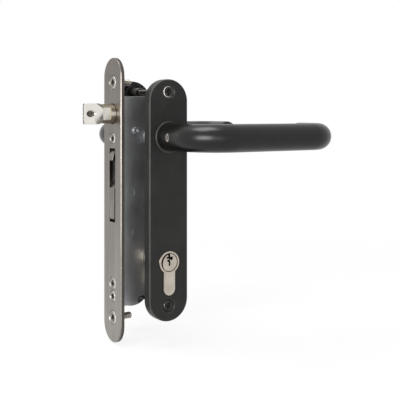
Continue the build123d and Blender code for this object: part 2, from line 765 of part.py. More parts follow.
# Hook bolt: beak, throat, toe and back in one plate, with a forked arm for the slide's pin.
hook_rear_y = hook_front_y + hook_thickness
hook_top_z = pivot_z + hook_top
beak_z = hook_top_z - hook_beak_height
beak_x = -faceplate_thickness - hook_proud
crown_x = hook_outer_x + hook_beak_height / 3
lip_z = pivot_z + hook_lip
foot_z = pivot_z + hook_throat_foot
toe_z = pivot_z - hook_toe
back_x = hook_pivot_x + hook_back
back_bottom_z = pivot_z - sqrt(hook_toe_radius**2 - hook_back**2)
pin_reach = slide_stroke / 2 / tan(radians(hook_swing / 2))
pin_x = hook_pivot_x + pin_reach
pin_z = pivot_z - slide_stroke / 2
arm_x = cos(radians(hook_swing / 2))
arm_z = -sin(radians(hook_swing / 2))
fork_start = pin_reach - free_gap
fork_middle = (fork_start + hook_arm_length + hook_arm_width) / 2
with BuildPart() as hook_bolt:
    with BuildSketch(Plane.XZ.offset(-hook_rear_y)) as hook_outline:
        with BuildLine():
            Line((hook_outer_x, toe_z), (hook_outer_x, lip_z))
            Line((hook_outer_x, lip_z), (hook_throat_x, foot_z))
            Line((hook_throat_x, foot_z), (hook_throat_x, beak_z))
            Line((hook_throat_x, beak_z), (beak_x, beak_z))
            ThreePointArc(
                (beak_x, beak_z),
                ((beak_x + crown_x) / 2 - hook_beak_bow, (beak_z + hook_top_z + hook_beak_bow) / 2),
                (crown_x, hook_top_z),
            )
            Line((crown_x, hook_top_z), (back_x, hook_top_z))
            Line((back_x, hook_top_z), (back_x, back_bottom_z))
            ThreePointArc(
                (back_x, back_bottom_z),
                (hook_pivot_x, pivot_z - hook_toe_radius),
                (hook_outer_x, toe_z),
            )
        make_face()
        fillet(
            near(hook_outline, (hook_throat_x, foot_z), (hook_throat_x, beak_z)), hook_throat_round
        )
        fillet(near(hook_outline, (back_x, hook_top_z)), hook_back_round)
        fillet(
            near(hook_outline, (beak_x, beak_z), (hook_outer_x, lip_z), (hook_outer_x, toe_z)),
            hook_corner,
        )
        SlotCenterPoint(
            (hook_pivot_x + hook_arm_length / 2 * arm_x, pivot_z + hook_arm_length / 2 * arm_z),
            (hook_pivot_x + hook_arm_length * arm_x, pivot_z + hook_arm_length * arm_z),
            hook_arm_width,
        )
    extrude(amount=hook_thickness)
    front_and_rear = hook_bolt.faces().filter_by(Axis.Y)
    edge_line = front_and_rear.edges().filter_by(lambda edge: edge.center().X < hook_throat_x)
    chamfer(edge_line, hook_edge)
    with BuildSketch(Plane.XZ.offset(-hook_rear_y)):
        with Locations((hook_pivot_x, pivot_z)):
            Circle(hook_pin_diameter / 2 + running_gap)
        SlotCenterPoint(
            (hook_pivot_x + fork_middle * arm_x, pivot_z + fork_middle * arm_z),
            (hook_pivot_x + fork_start * arm_x, pivot_z + fork_start * arm_z),
            hook_fork_width,
        )
    extrude(amount=hook_thickness, mode=Mode.SUBTRACT)
hook_bolt.part.label = "hook_bolt"
export_step(hook_bolt.part, "parts/hook_bolt.step")

# Pin on which the hook swings, riveted in both sides of the case.
with BuildPart() as hook_pin:
    with BuildSketch(Plane.XZ.offset(-case_half)):
        with Locations((hook_pivot_x, pivot_z)):
            Circle(hook_pin_diameter / 2)
    extrude(amount=case_thickness)
hook_pin.part.label = "hook_pin"
export_step(hook_pin.part, "parts/hook_pin.step")

# Spacer bushes on the pin, one on each side of the hook.
with BuildPart() as hook_bushes:
    with BuildSketch(Plane.XZ.offset(cavity_half - seat_gap)):
        with Locations((hook_pivot_x, pivot_z)):
            Circle(hook_bush_diameter / 2)
            Circle(hook_pin_diameter / 2 + seat_gap, mode=Mode.SUBTRACT)
    extrude(amount=-(cavity_half - seat_gap + hook_front_y - free_gap))
    with BuildSketch(Plane.XZ.offset(seat_gap - cavity_half)):
        with Locations((hook_pivot_x, pivot_z)):
            Circle(hook_bush_diameter / 2)
            Circle(hook_pin_diameter / 2 + seat_gap, mode=Mode.SUBTRACT)
    extrude(amount=cavity_half - seat_gap - hook_rear_y - free_gap)
hook_bushes.part.label = "hook_bushes"
export_step(hook_bushes.part, "parts/hook_bushes.step")

# Notch in the slide: the cam's nose, seen from the slide, over the whole turn of the cam.
nose_length = sqrt(cam_radius**2 - (cam_nose_width / 2) ** 2)
nose_tops = []
nose_bottoms = []
for step in range(41):
    share = step / 40
    nose_angle = radians(cam_turn * (share - 0.5))
    nose_middle_z = cylinder_z + nose_length * sin(nose_angle) - slide_stroke * share
    nose_tops.append(nose_middle_z + cam_nose_width / 2 * cos(nose_angle))
    nose_bottoms.append(nose_middle_z - cam_nose_width / 2 * cos(nose_angle))
notch_top_z = max(nose_tops) + free_gap
notch_bottom_z = min(nose_bottoms) - free_gap

# Drive slide: a thin guided plate with a thick foot that the cam's nose lifts.
slide_front_y = cavity_half - slide_side_gap
slide_bottom_z = notch_bottom_z - slide_lower_lip
slide_right_x = axis_x - cylinder_diameter / 2 - slide_side_gap
slide_step_x = slide_spine_x + slide_spine_width
guide_half = guide_stud_diameter / 2 + free_gap
guide_band = guide_half + slide_wall
lower_top_z = guide_lower_z + guide_band
upper_bottom_z = guide_upper_z - slide_stroke - guide_band
upper_top_z = guide_upper_z + guide_band
upper_right_x = guide_upper_x + guide_band
with BuildPart() as drive_slide:
    with BuildSketch(Plane.XZ.offset(slide_front_y)) as slide_outline:
        with Locations((slide_left_x, slide_bottom_z)):
            Rectangle(
                slide_step_x - slide_left_x, lower_top_z - slide_bottom_z, align=(Align.MIN, Align.MIN)
            )
        with Locations((slide_left_x, upper_bottom_z)):
            Rectangle(
                upper_right_x - slide_left_x, lower_top_z - upper_bottom_z, align=(Align.MIN, Align.MIN)
            )
        with Locations((upper_right_x, upper_bottom_z)):
            Rectangle(2 * guide_band, upper_top_z - upper_bottom_z, align=(Align.MAX, Align.MIN))
        SlotCenterPoint(((guide_upper_x + pin_x) / 2, pin_z), (pin_x, pin_z), 2 * slide_lobe_radius)
    extrude(amount=-slide_plate_thickness)
    with BuildSketch(Plane.XZ.offset(slide_front_y)):
        with Locations((slide_spine_x, slide_bottom_z)):
            Rectangle(
                slide_right_x - slide_spine_x,
                notch_top_z + slide_upper_lip - slide_bottom_z,
                align=(Align.MIN, Align.MIN),
            )
        with Locations((slide_step_x, notch_bottom_z)):
            Rectangle(
                slide_right_x - slide_step_x,
                notch_top_z - notch_bottom_z,
                align=(Align.MIN, Align.MIN),
                mode=Mode.SUBTRACT,
            )
    extrude(amount=-2 * slide_front_y)
    with BuildSketch(Plane.YZ.offset(slide_spine_x)):
        with Locations((0, cylinder_screw_z)):
            Circle(cylinder_screw_diameter / 2 + fork_gap)
            Rectangle(
                cylinder_screw_diameter + 2 * fork_gap, slide_lower_lip, align=(Align.CENTER, Align.MAX)
            )
    extrude(amount=slide_right_x - slide_spine_x, mode=Mode.SUBTRACT)
    with BuildSketch(Plane.XZ.offset(slide_front_y)):
        with Locations(*[(place[0], place[1] - slide_stroke / 2) for place in guide_places]):
            SlotCenterToCenter(slide_stroke, 2 * guide_half, rotation=90)
    extrude(amount=-(slide_front_y + guide_stud_end_y + free_gap), mode=Mode.SUBTRACT)
    with BuildSketch(Plane.XZ.offset(slide_front_y)):
        with Locations((pin_x, pin_z)):
            Circle(slide_stem_diameter / 2 + seat_gap)
    extrude(amount=-slide_plate_thickness, mode=Mode.SUBTRACT)
drive_slide.part.label = "drive_slide"
export_step(drive_slide.part, "parts/drive_slide.step")

# Pin riveted in the slide that works in the hook's fork.
with BuildPart() as drive_pin:
    with BuildSketch(Plane.XZ.offset(slide_front_y - slide_plate_thickness)):
        with Locations((pin_x, pin_z)):
            Circle(slide_pin_diameter / 2)
    extrude(amount=-(slide_front_y - slide_plate_thickness + hook_rear_y))
    with BuildSketch(Plane.XZ.offset(slide_front_y)):
        with Locations((pin_x, pin_z)):
            Circle(slide_stem_diameter / 2)
    extrude(amount=-slide_plate_thickness)
drive_pin.part.label = "drive_pin"
export_step(drive_pin.part, "parts/drive_pin.step")

# Studs riveted in the cover that guide the slide.
with BuildPart() as guide_studs:
    with BuildSketch(cover_face):
        with Locations(*guide_places):
            Circle(guide_stud_diameter / 2)
    extrude(amount=-(case_half + guide_stud_end_y))
guide_studs.part.label = "guide_studs"
export_step(guide_studs.part, "parts/guide_studs.step")

# Body of the profile cylinder, open in the middle for the cam.
with BuildPart() as cylinder_body:
    with BuildSketch(Plane.XZ.offset(-cylinder_end)):
        euro_profile(0)
    extrude(amount=2 * cylinder_end)
    for end in (0, -1):
        chamfer(cylinder_body.faces().sort_by(Axis.Y)[end].outer_wire().edges(), cylinder_edge)
    with BuildSketch(Plane.XZ.offset(-cylinder_end)):
        with Locations((axis_x, cylinder_z)):
            Circle(plug_diameter / 2 + running_gap)
    extrude(amount=2 * cylinder_end, mode=Mode.SUBTRACT)
    with BuildSketch(Plane.XZ.offset(-cam_slot_width / 2)):
        with Locations((axis_x, cylinder_z)):
            Circle(cam_radius + cam_sweep_gap)
    extrude(amount=cam_slot_width, mode=Mode.SUBTRACT)
    with BuildSketch(Plane.YZ.offset(axis_x - cylinder_stem_width)):
        with Locations((0, cylinder_screw_z)):
            Circle(cylinder_screw_diameter / 2 + thread_gap)
    extrude(amount=2 * cylinder_stem_width, mode=Mode.SUBTRACT)
cylinder_body.part.label = "cylinder_body"
export_step(cylinder_body.part, "parts/cylinder_body.step")

# Retaining ring places on the necks of the two plugs.
clip_y = cam_ring_width / 2 + clip_gap
neck_radius = cam_bore_diameter / 2 - 2 * running_gap
groove_radius = clip_diameter / 2 - clip_width - seat_gap
plug_end = cylinder_end - plug_sink
neck_start = cam_slot_width / 2 + clip_gap


def cylinder_plug(neck_end):
    """Front plug of the cylinder, its neck reaching to neck_end in the cam."""
    with BuildPart() as plug:
        with BuildSketch(Plane.XZ.offset(neck_start)):
            with Locations((axis_x, cylinder_z)):
                Circle(plug_diameter / 2)
        extrude(amount=plug_end - neck_start)
        chamfer(plug.faces().sort_by(Axis.Y)[0].edges(), plug_edge)
        with BuildSketch(Plane.XZ.offset(neck_start)):
            with Locations((axis_x, cylinder_z)):
                Circle(neck_radius)
        extrude(amount=neck_end - neck_start)
        with BuildSketch(Plane.XZ.offset(clip_y - seat_gap)):
            with Locations((axis_x, cylinder_z)):
                Circle(neck_radius + running_gap)
                Circle(groove_radius, mode=Mode.SUBTRACT)
        extrude(amount=clip_thickness + 2 * seat_gap, mode=Mode.SUBTRACT)
        with BuildSketch(Plane.XZ.offset(plug_end)):
            with Locations((axis_x, cylinder_z)):
                with BuildLine():
                    Polyline(
                        (-keyway_width / 2, keyway_top),
                        (-keyway_width / 2, keyway_top / 3),
                        (keyway_width / 2 - keyway_jog, keyway_top / 3 - keyway_jog),
                        (keyway_width / 2 - keyway_jog, keyway_bottom),
                        (3 * keyway_width / 2 - keyway_jog, keyway_bottom),
                        (3 * keyway_width / 2 - keyway_jog, keyway_top / 3 - keyway_jog),
                        (keyway_width / 2, keyway_top / 3),
                        (keyway_width / 2, keyway_top),
                        close=True,
                    )
                make_face()
        extrude(amount=-keyway_depth, mode=Mode.SUBTRACT)
    return plug.part


# Front plug with a key that turns the cam.
key_length = cam_ring_width / 2 - clip_gap
with BuildPart() as plug_front:
    add(cylinder_plug(-running_gap))
    with BuildSketch(Plane.XZ.offset(key_length)):
        with Locations((axis_x, cylinder_z)):
            Rectangle(cam_key_width, cam_key_radius, align=(Align.CENTER, Align.MIN))
    extrude(amount=-key_length)
plug_front.part.label = "plug_front"
export_step(plug_front.part, "parts/plug_front.step")

# Rear plug, which turns freely in the cam.
with BuildPart() as plug_rear:
    mirror(cylinder_plug(free_gap), about=Plane.XZ)
plug_rear.part.label = "plug_rear"
export_step(plug_rear.part, "parts/plug_rear.step")

# Cam between the plugs, at rest with its nose down towards the faceplate.
nose_rest = 180 + cam_turn / 2
with BuildPart() as cylinder_cam:
    with BuildSketch(Plane.XZ.offset(-cam_ring_width / 2)):
        with Locations((axis_x, cylinder_z)):
            Circle(cam_ring_diameter / 2)
    extrude(amount=cam_ring_width)
    with BuildSketch(Plane.XZ.offset(free_gap - cam_slot_width / 2)):
        with Locations((axis_x, cylinder_z)):
            Rectangle(
                cam_radius, cam_nose_width, rotation=nose_rest, align=(Align.MIN, Align.CENTER)
            )
            Circle(cam_radius, mode=Mode.INTERSECT)
            Circle(cam_ring_diameter / 2 - free_gap, mode=Mode.SUBTRACT)
    extrude(amount=cam_slot_width - 2 * free_gap)
    with BuildSketch(Plane.XZ.offset(-cam_ring_width / 2)):
        with Locations((axis_x, cylinder_z)):
            Circle(cam_bore_diameter / 2)
    extrude(amount=cam_ring_width, mode=Mode.SUBTRACT)
    with BuildSketch(Plane.XZ.offset(cam_ring_width / 2)):
        with Locations((axis_x, cylinder_z)):
            Rectangle(
                cam_key_width + 2 * seat_gap, cam_key_radius + seat_gap, align=(Align.CENTER, Align.MIN)
            )
    extrude(amount=-(cam_ring_width / 2 + seat_gap), mode=Mode.SUBTRACT)
cylinder_cam.part.label = "cylinder_cam"
export_step(cylinder_cam.part, "parts/cylinder_cam.step")

# Retaining rings behind and in front of the cam.
with BuildPart() as clip_front:
    with BuildSketch(Plane.XZ.offset(clip_y)):
        with Locations((axis_x, cylinder_z)):
            open_ring(clip_diameter, clip_diameter - 2 * clip_width, clip_opening)
    extrude(amount=clip_thickness)
clip_front.part.label = "clip_front"
export_step(clip_front.part, "parts/clip_front.step")

with BuildPart() as clip_rear:
    with BuildSketch(Plane.XZ.offset(-clip_y)):
        with Locations((axis_x, cylinder_z)):
            open_ring(clip_diameter, clip_diameter - 2 * clip_width, clip_opening)
    extrude(amount=-clip_thickness)
clip_rear.part.label = "clip_rear"
export_step(clip_rear.part, "parts/clip_rear.step")


def handle_plate(hole_diameter, head_diameter):
    """Front handle plate with a hollow back and bosses, drilled for the given screws."""
    plate_middle_z = (plate_top_z + plate_bottom_z) / 2
    with BuildPart() as plate:
        with BuildSketch(Plane.XZ.offset(plate_back)):
            with Locations((axis_x, plate_middle_z)):
                SlotOverall(plate_top_z - plate_bottom_z, plate_width, rotation=90)
        extrude(amount=plate_thickness)
        fillet(plate.faces().sort_by(Axis.Y)[0].edges(), plate_edge)
        with BuildSketch(Plane.XZ.offset(plate_back)):
            with Locations((axis_x, plate_middle_z)):
                SlotOverall(
                    plate_top_z - plate_bottom_z - 2 * plate_rim, plate_width - 2 * plate_rim, rotation=90
                )
            with Locations((axis_x, spindle_z)):
                Circle(bush_diameter / 2 + plate_boss_wall, mode=Mode.SUBTRACT)
            with Locations((axis_x, cylinder_z)):
                Circle(cylinder_diameter / 2 + cylinder_gap + plate_boss_wall, mode=Mode.SUBTRACT)
            with Locations((axis_x, cylinder_z - cylinder_height / 2)):
                Rectangle(
                    cylinder_stem_width + 2 * (cylinder_gap + plate_boss_wall),
                    cylinder_height - cylinder_diameter / 2,
                    mode=Mode.SUBTRACT,
                )
            with Locations(*[(axis_x, height) for height in plate_screw_heights]):
                Circle(hole_diameter / 2 + screw_gap + plate_boss_wall, mode=Mode.SUBTRACT)
        extrude(amount=plate_thickness - plate_skin, mode=Mode.SUBTRACT)
        with BuildSketch(Plane.XZ.offset(plate_back)):
            with Locations((axis_x, spindle_z)):
                Circle(bush_diameter / 2 + seat_gap)
            euro_profile(cylinder_gap)
        extrude(amount=plate_thickness, mode=Mode.SUBTRACT)
        with Locations(front_face):
            with Locations(*[(axis_x, height) for height in plate_screw_heights]):
                add(screw_seat(hole_diameter, head_diameter, 2 * plate_thickness), mode=Mode.SUBTRACT)
    return plate.part


# Handle plates, the rear one drilled for the sleeve nuts.
with BuildPart() as plate_front:
    add(handle_plate(plate_screw_diameter, plate_head_diameter))
plate_front.part.label = "plate_front"
export_step(plate_front.part, "parts/plate_front.step")

with BuildPart() as plate_rear:
    mirror(handle_plate(sleeve_diameter, sleeve_head_diameter), about=Plane.XZ)
plate_rear.part.label = "plate_rear"
export_step(plate_rear.part, "parts/plate_rear.step")

# Lever handle: a round bar bent away from the faceplate and, at its end, back to the plate.
neck_end = plate_back + lever_inset
grip_y = -(plate_face + lever_reach)
outer_x = axis_x + lever_length - lever_diameter / 2
free_end_y = -(plate_face + lever_return_gap)
ring_y = plate_back + bush_inset - free_gap - neck_ring_thickness
grub_y = plate_face + grub_reach
socket_width = spindle_width + 2 * seat_gap


def lever_handle():
    """Front lever with its ring groove, spindle socket and tapped hole for the grub screw."""
    with BuildPart() as lever:
        with BuildLine(Plane.XY.offset(spindle_z)) as bar:
            Line((axis_x, -neck_end), (axis_x, grip_y + lever_bend))
            CenterArc((axis_x + lever_bend, grip_y + lever_bend), lever_bend, 180, 90)
            Line((axis_x + lever_bend, grip_y), (outer_x - lever_return_bend, grip_y))
            CenterArc(
                (outer_x - lever_return_bend, grip_y + lever_return_bend), lever_return_bend, 270, 90
            )
            Line((outer_x, grip_y + lever_return_bend), (outer_x, free_end_y))
        with BuildSketch(Plane.XZ.offset(neck_end)):
            with Locations((axis_x, spindle_z)):
                Circle(lever_diameter / 2)
        sweep(path=bar.line)
        end_face = lever.faces().filter_by(GeomType.PLANE).sort_by(Axis.X)[-1]
        fillet(end_face.edges(), lever_end_round)
        with BuildSketch(Plane.XZ.offset(ring_y - seat_gap)):
            with Locations((axis_x, spindle_z)):
                Circle(lever_diameter / 2 + free_gap)
                Circle(lever_diameter / 2 - neck_groove_depth, mode=Mode.SUBTRACT)
        extrude(amount=neck_ring_thickness + 2 * seat_gap, mode=Mode.SUBTRACT)
        with BuildSketch(Plane.XZ.offset(neck_end)):
            with Locations((axis_x, spindle_z)):
                Rectangle(socket_width, socket_width)
        extrude(amount=spindle_length / 2 + socket_end_gap - neck_end, mode=Mode.SUBTRACT)
        with BuildSketch(Plane.YZ.offset(axis_x - lever_diameter)):
            with Locations((-grub_y, spindle_z)):
                Circle(grub_diameter / 2 + thread_gap)
        extrude(amount=lever_diameter, mode=Mode.SUBTRACT)
    return lever.part


with BuildPart() as lever_front:
    add(lever_handle())
lever_front.part.label = "lever_front"
export_step(lever_front.part, "parts/lever_front.step")

with BuildPart() as lever_rear:
    mirror(lever_handle(), about=Plane.XZ)
lever_rear.part.label = "lever_rear"
export_step(lever_rear.part, "parts/lever_rear.step")


def neck_bush():
    """Bush in the front plate in which the lever's neck turns."""
    with BuildPart() as bush:
        with BuildSketch(Plane.XZ.offset(plate_back + bush_inset)):
            with Locations((axis_x, spindle_z)):
                Circle(bush_diameter / 2)
        extrude(amount=plate_thickness - bush_inset + bush_projection)
        chamfer(bush.faces().sort_by(Axis.Y)[0].edges(), bush_edge)
        with BuildSketch(Plane.XZ.offset(plate_back)):
            with Locations((axis_x, spindle_z)):
                Circle(lever_diameter / 2 + running_gap)
        extrude(amount=2 * plate_thickness, mode=Mode.SUBTRACT)
    return bush.part


# Bushes of the two necks.
with BuildPart() as bush_front:
    add(neck_bush())
bush_front.part.label = "bush_front"
export_step(bush_front.part, "parts/bush_front.step")

with BuildPart() as bush_rear:
    mirror(neck_bush(), about=Plane.XZ)
bush_rear.part.label = "bush_rear"
export_step(bush_rear.part, "parts/bush_rear.step")

# Retaining rings behind the bushes.
ring_bore = lever_diameter - 2 * (neck_groove_depth - seat_gap)
with BuildPart() as neck_rings:
    with BuildSketch(Plane.XZ.offset(ring_y)):
        with Locations((axis_x, spindle_z)):
            open_ring(neck_ring_diameter, ring_bore, neck_ring_opening)
    extrude(amount=neck_ring_thickness)
    with BuildSketch(Plane.XZ.offset(-ring_y)):
        with Locations((axis_x, spindle_z)):
            open_ring(neck_ring_diameter, ring_bore, neck_ring_opening)
    extrude(amount=-neck_ring_thickness)
neck_rings.part.label = "neck_rings"
export_step(neck_rings.part, "parts/neck_rings.step")

# Square spindle through both levers and the follower.
with BuildPart() as spindle:
    with BuildSketch(Plane.XZ.offset(-spindle_length / 2)):
        with Locations((axis_x, spindle_z)):
            Rectangle(spindle_width, spindle_width)
    extrude(amount=spindle_length)
    chamfer(spindle.edges().filter_by(Axis.Y), spindle_edge)
spindle.part.label = "spindle"
export_step(spindle.part, "parts/spindle.step")

# Grub screws that clamp the levers on the spindle.
grub_outer_x = axis_x - lever_diameter / 2 + grub_sink
grub_inner_x = axis_x - spindle_width / 2 - seat_gap
with BuildPart() as grub_screws:
    with BuildSketch(Plane.YZ.offset(grub_outer_x)):
        with Locations((-grub_y, spindle_z), (grub_y, spindle_z)):
            Circle(grub_diameter / 2)
    extrude(amount=grub_inner_x - grub_outer_x)
    with BuildSketch(Plane.YZ.offset(grub_outer_x)):
        with Locations((-grub_y, spindle_z), (grub_y, spindle_z)):
            RegularPolygon(grub_key / sqrt(3), 6)
    extrude(amount=grub_key_depth, mode=Mode.SUBTRACT)
grub_screws.part.label = "grub_screws"
export_step(grub_screws.part, "parts/grub_screws.step")

# Long screws through both plates.
with BuildPart() as plate_screws:
    with Locations(front_face):
        with Locations(*[(axis_x, height) for height in plate_screw_heights]):
            add(countersunk_screw(plate_screw_diameter, plate_head_diameter, plate_screw_length))
plate_screws.part.label = "plate_screws"
export_step(plate_screws.part, "parts/plate_screws.step")

# Sleeve nuts that take the plate screws from the rear.
with BuildPart() as sleeve_nuts:
    with Locations(rear_face):
        with Locations(*[(-axis_x, height) for height in plate_screw_heights]):
            add(countersunk_screw(sleeve_diameter, sleeve_head_diameter, sleeve_length))
    with BuildSketch(Plane.XZ.offset(-(plate_face - head_sink - sleeve_length))):
        with Locations(*[(axis_x, height) for height in plate_screw_heights]):
            Circle(plate_screw_diameter / 2 + thread_gap)
    extrude(amount=-sleeve_bore_depth, mode=Mode.SUBTRACT)
sleeve_nuts.part.label = "sleeve_nuts"
export_step(sleeve_nuts.part, "parts/sleeve_nuts.step")
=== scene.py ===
import json
from math import pi, radians

import bmesh
import bpy
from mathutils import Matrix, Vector


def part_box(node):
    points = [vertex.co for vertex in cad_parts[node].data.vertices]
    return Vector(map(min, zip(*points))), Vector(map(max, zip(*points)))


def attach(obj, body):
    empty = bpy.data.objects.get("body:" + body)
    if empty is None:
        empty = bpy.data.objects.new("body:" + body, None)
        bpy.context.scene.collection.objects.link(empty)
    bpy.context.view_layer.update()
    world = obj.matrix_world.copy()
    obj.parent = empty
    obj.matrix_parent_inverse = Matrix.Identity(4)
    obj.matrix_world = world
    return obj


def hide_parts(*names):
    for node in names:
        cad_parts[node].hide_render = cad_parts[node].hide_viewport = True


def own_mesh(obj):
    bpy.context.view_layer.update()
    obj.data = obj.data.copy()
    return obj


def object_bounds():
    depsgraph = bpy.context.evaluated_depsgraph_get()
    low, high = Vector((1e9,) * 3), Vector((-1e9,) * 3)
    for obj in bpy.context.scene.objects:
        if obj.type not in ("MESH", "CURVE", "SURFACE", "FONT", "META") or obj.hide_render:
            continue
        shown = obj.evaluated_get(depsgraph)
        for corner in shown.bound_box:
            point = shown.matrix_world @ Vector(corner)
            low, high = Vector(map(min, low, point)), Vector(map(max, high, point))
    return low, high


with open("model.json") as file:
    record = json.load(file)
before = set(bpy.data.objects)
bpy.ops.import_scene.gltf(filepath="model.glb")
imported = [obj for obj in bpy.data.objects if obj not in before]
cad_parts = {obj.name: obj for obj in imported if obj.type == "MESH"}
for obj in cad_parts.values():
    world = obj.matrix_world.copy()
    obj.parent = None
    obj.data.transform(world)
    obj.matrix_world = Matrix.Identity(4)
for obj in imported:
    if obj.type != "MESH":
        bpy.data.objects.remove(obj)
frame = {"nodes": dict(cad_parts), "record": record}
nodes = frame["nodes"]
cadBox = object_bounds()
mm = 0.001
print("frame loaded:", len(nodes), "nodes")


class Wire:
    # an output socket; an operator on it adds the Math node
    def __init__(self, tree, socket):
        self.tree = tree
        self.socket = socket

    def maths(self, operation, *others):
        return mathsNode(self.tree, operation, self, *others)

    def __add__(self, other):
        return self.maths("ADD", other)

    def __radd__(self, other):
        return mathsNode(self.tree, "ADD", other, self)

    def __sub__(self, other):
        return self.maths("SUBTRACT", other)

    def __rsub__(self, other):
        return mathsNode(self.tree, "SUBTRACT", other, self)

    def __mul__(self, other):
        return self.maths("MULTIPLY", other)

    def __truediv__(self, other):
        return self.maths("DIVIDE", other)

    def __gt__(self, other):
        return self.maths("GREATER_THAN", other)

    def __lt__(self, other):
        return self.maths("LESS_THAN", other)

    def __abs__(self):
        return self.maths("ABSOLUTE")

    def squared(self):
        return self.maths("MULTIPLY", self)

    def atLeast(self, other):
        return self.maths("MAXIMUM", other)

    def atMost(self, other):
        return self.maths("MINIMUM", other)


def addNode(tree, kind, settings=None, inputs=None, output=0):
    node = tree.nodes.new(kind)
    for name, value in (settings or {}).items():
        if name == "stops":
            ramp = node.color_ramp
            while len(ramp.elements) < len(value):
                ramp.elements.new(0.5)
            for element, (place, shade) in zip(ramp.elements, value):
                element.position = place
                element.color = (shade, shade, shade, 1)
        else:
            setattr(node, name, value)
    for name, value in (inputs or {}).items():
        socket = node.inputs[name]
        if isinstance(value, Wire):
            tree.links.new(value.socket, socket)
        elif isinstance(value, list):
            for wire in value:
                tree.links.new(wire.socket, socket)
        elif isinstance(value, tuple) and socket.type == "RGBA" and len(value) == 3:
            socket.default_value = (*value, 1)
        else:
            socket.default_value = value
    return Wire(tree, node.outputs[output])


def mathsNode(tree, operation, *values):
    return addNode(tree, "ShaderNodeMath", {"operation": operation}, dict(enumerate(values)))


def screen(levels):
    # 0-255 screen levels as a linear colour
    shares = [level / 255 for level in levels]
    return tuple(share / 12.92 if share < 0.04045 else ((share + 0.055) / 1.055) ** 2.4 for share in shares)


class Finish:
    # one material: a Principled shader with plain socket values and a few textures
    def __init__(self, name, **values):
        self.material = bpy.data.materials.new(name)
        self.material.use_nodes = True
        self.tree = self.material.node_tree
        self.shader = self.tree.nodes["Principled BSDF"]
        self.place = self.node("ShaderNodeTexCoord", output=3)
        for name, value in values.items():
            self.set(name, value)

    def node(self, kind, settings=None, inputs=None, output=0):
        return addNode(self.tree, kind, settings, inputs, output)

    def set(self, name, value):
        words = {"baseColor": "Base Color", "specular": "Specular IOR Level"}
        socket = self.shader.inputs[words.get(name, name.capitalize())]
        if isinstance(value, Wire):
            self.tree.links.new(value.socket, socket)
        elif isinstance(value, tuple):
            socket.default_value = (*value, 1)
        else:
            socket.default_value = value

    def noise(self, scale, stretch=(1, 1, 1), detail=3.0, rough=0.5):
        stretched = self.node("ShaderNodeMapping", inputs={"Vector": self.place, "Scale": stretch})
        return self.node("ShaderNodeTexNoise", inputs={
            "Vector": stretched, "Scale": scale, "Detail": detail, "Roughness": rough})

    def ramp(self, value, *stops):
        return self.node("ShaderNodeValToRGB", {"stops": stops}, {"Fac": value})

    def blendColours(self, factor, first, second):
        # each of the two is a wire, or a colour in screen levels
        first, second = [colour if isinstance(colour, Wire) else screen(colour) for colour in (first, second)]
        return self.node("ShaderNodeMix", {"data_type": "RGBA"}, {0: factor, 6: first, 7: second}, output=2)

    def part(self, axis, vector):
        return self.node("ShaderNodeSeparateXYZ", inputs={0: vector}, output=axis)

    def facing(self, axis):
        # 1 on faces that look along the axis, 0 on those that lie along it
        return abs(self.part(axis, self.node("ShaderNodeTexCoord", output=1)))

    def mask(self, name):
        return self.node("ShaderNodeAttribute", {"attribute_name": name}, output=2)

    def rubbed(self, amount):
        # worn edges: the bevels' mask, broken up so that the wear comes and goes
        return self.mask("edge") * self.ramp(self.noise(260, detail=4.0), (0.3, 0.35), (0.62, 1.0)) * amount

    def bump(self, height, depth, strength):
        self.set("normal", self.node("ShaderNodeBump", inputs={
            "Height": height, "Distance": depth, "Strength": strength}))


# finishes: their colours are in 0-255 screen levels

brushed = {
    "streaks": ((136, 131, 125), (160, 155, 149)),
    # painted shade: the colour the plate darkens to towards its top
    "topShade": (112, 106, 100),
    # painted shade: the colour of the sides and slot walls
    "sides": (86, 82, 78),
    "rubbed": (160, 156, 150),
    "roughness": 0.27,
    "hairDepth": 0.03 * mm,
}


def brushedSteel():
    # stainless: hair lines along the plate, darker towards the top in cloudy patches as painted shade, sides
    # darkened as painted shade, rubbed edges
    finish = Finish("brushedSteel", metallic=1.0)
    grain = finish.noise(2000, (1, 1, 0.012), 4.0, 0.6) * 0.6 + finish.noise(520, (1, 1, 0.03), 2.0) * 0.4
    cloud = finish.ramp(finish.noise(42, (1, 1, 0.5)), (0.42, 0.0), (0.72, 0.5))
    streaked = finish.blendColours(finish.ramp(grain, (0.38, 0.0), (0.62, 1.0)), *brushed["streaks"])
    # painted shade: the plate darkens towards its top, in cloudy patches
    topShade = finish.ramp(finish.part(2, finish.place) * 5 + 0.5 + cloud * 0.3, (0.1, 0.0), (1.0, 0.8))
    topShaded = finish.blendColours(topShade, streaked, brushed["topShade"])
    # painted shade: faces that don't look along X, the sides and slot walls, take the darker colour
    sidesShaded = finish.blendColours(finish.facing(0), brushed["sides"], topShaded)
    finish.set("baseColor", finish.blendColours(finish.rubbed(0.3), sidesShaded, brushed["rubbed"]))
    finish.set("roughness", brushed["roughness"] + grain * 0.16 + cloud * 0.1)
    finish.bump(grain, brushed["hairDepth"], 0.6)
    return finish.material


coatings = {
    # the rim value sets how much paler the rounded rims are, as wear and as a painted highlight
    "plateBlack": {"level": 31, "roughness": 0.4, "specular": 0.2, "rimWearAndSheen": 0.4},
    "bushBlack": {"level": 31, "roughness": 0.4, "specular": 0.2, "rimWearAndSheen": 0.2},
    "leverBlack": {"level": 14, "roughness": 0.29, "specular": 0.32, "rimWearAndSheen": 0.0},
}
seatRadius = 6.5 * mm
peelDepth = 0.01 * mm


def nearScrews(finish):
    # 1 within the two screws' seats in the handle plates, which stay coated
    low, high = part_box("plate_screws")
    headRadius = (high.x - low.x) / 2
    across = finish.part(0, finish.place) - (low.x + high.x) / 2
    upright = finish.part(2, finish.place)
    return sum(
        across.squared() + (upright - height).squared() < seatRadius ** 2
        for height in (low.z + headRadius, high.z - headRadius))


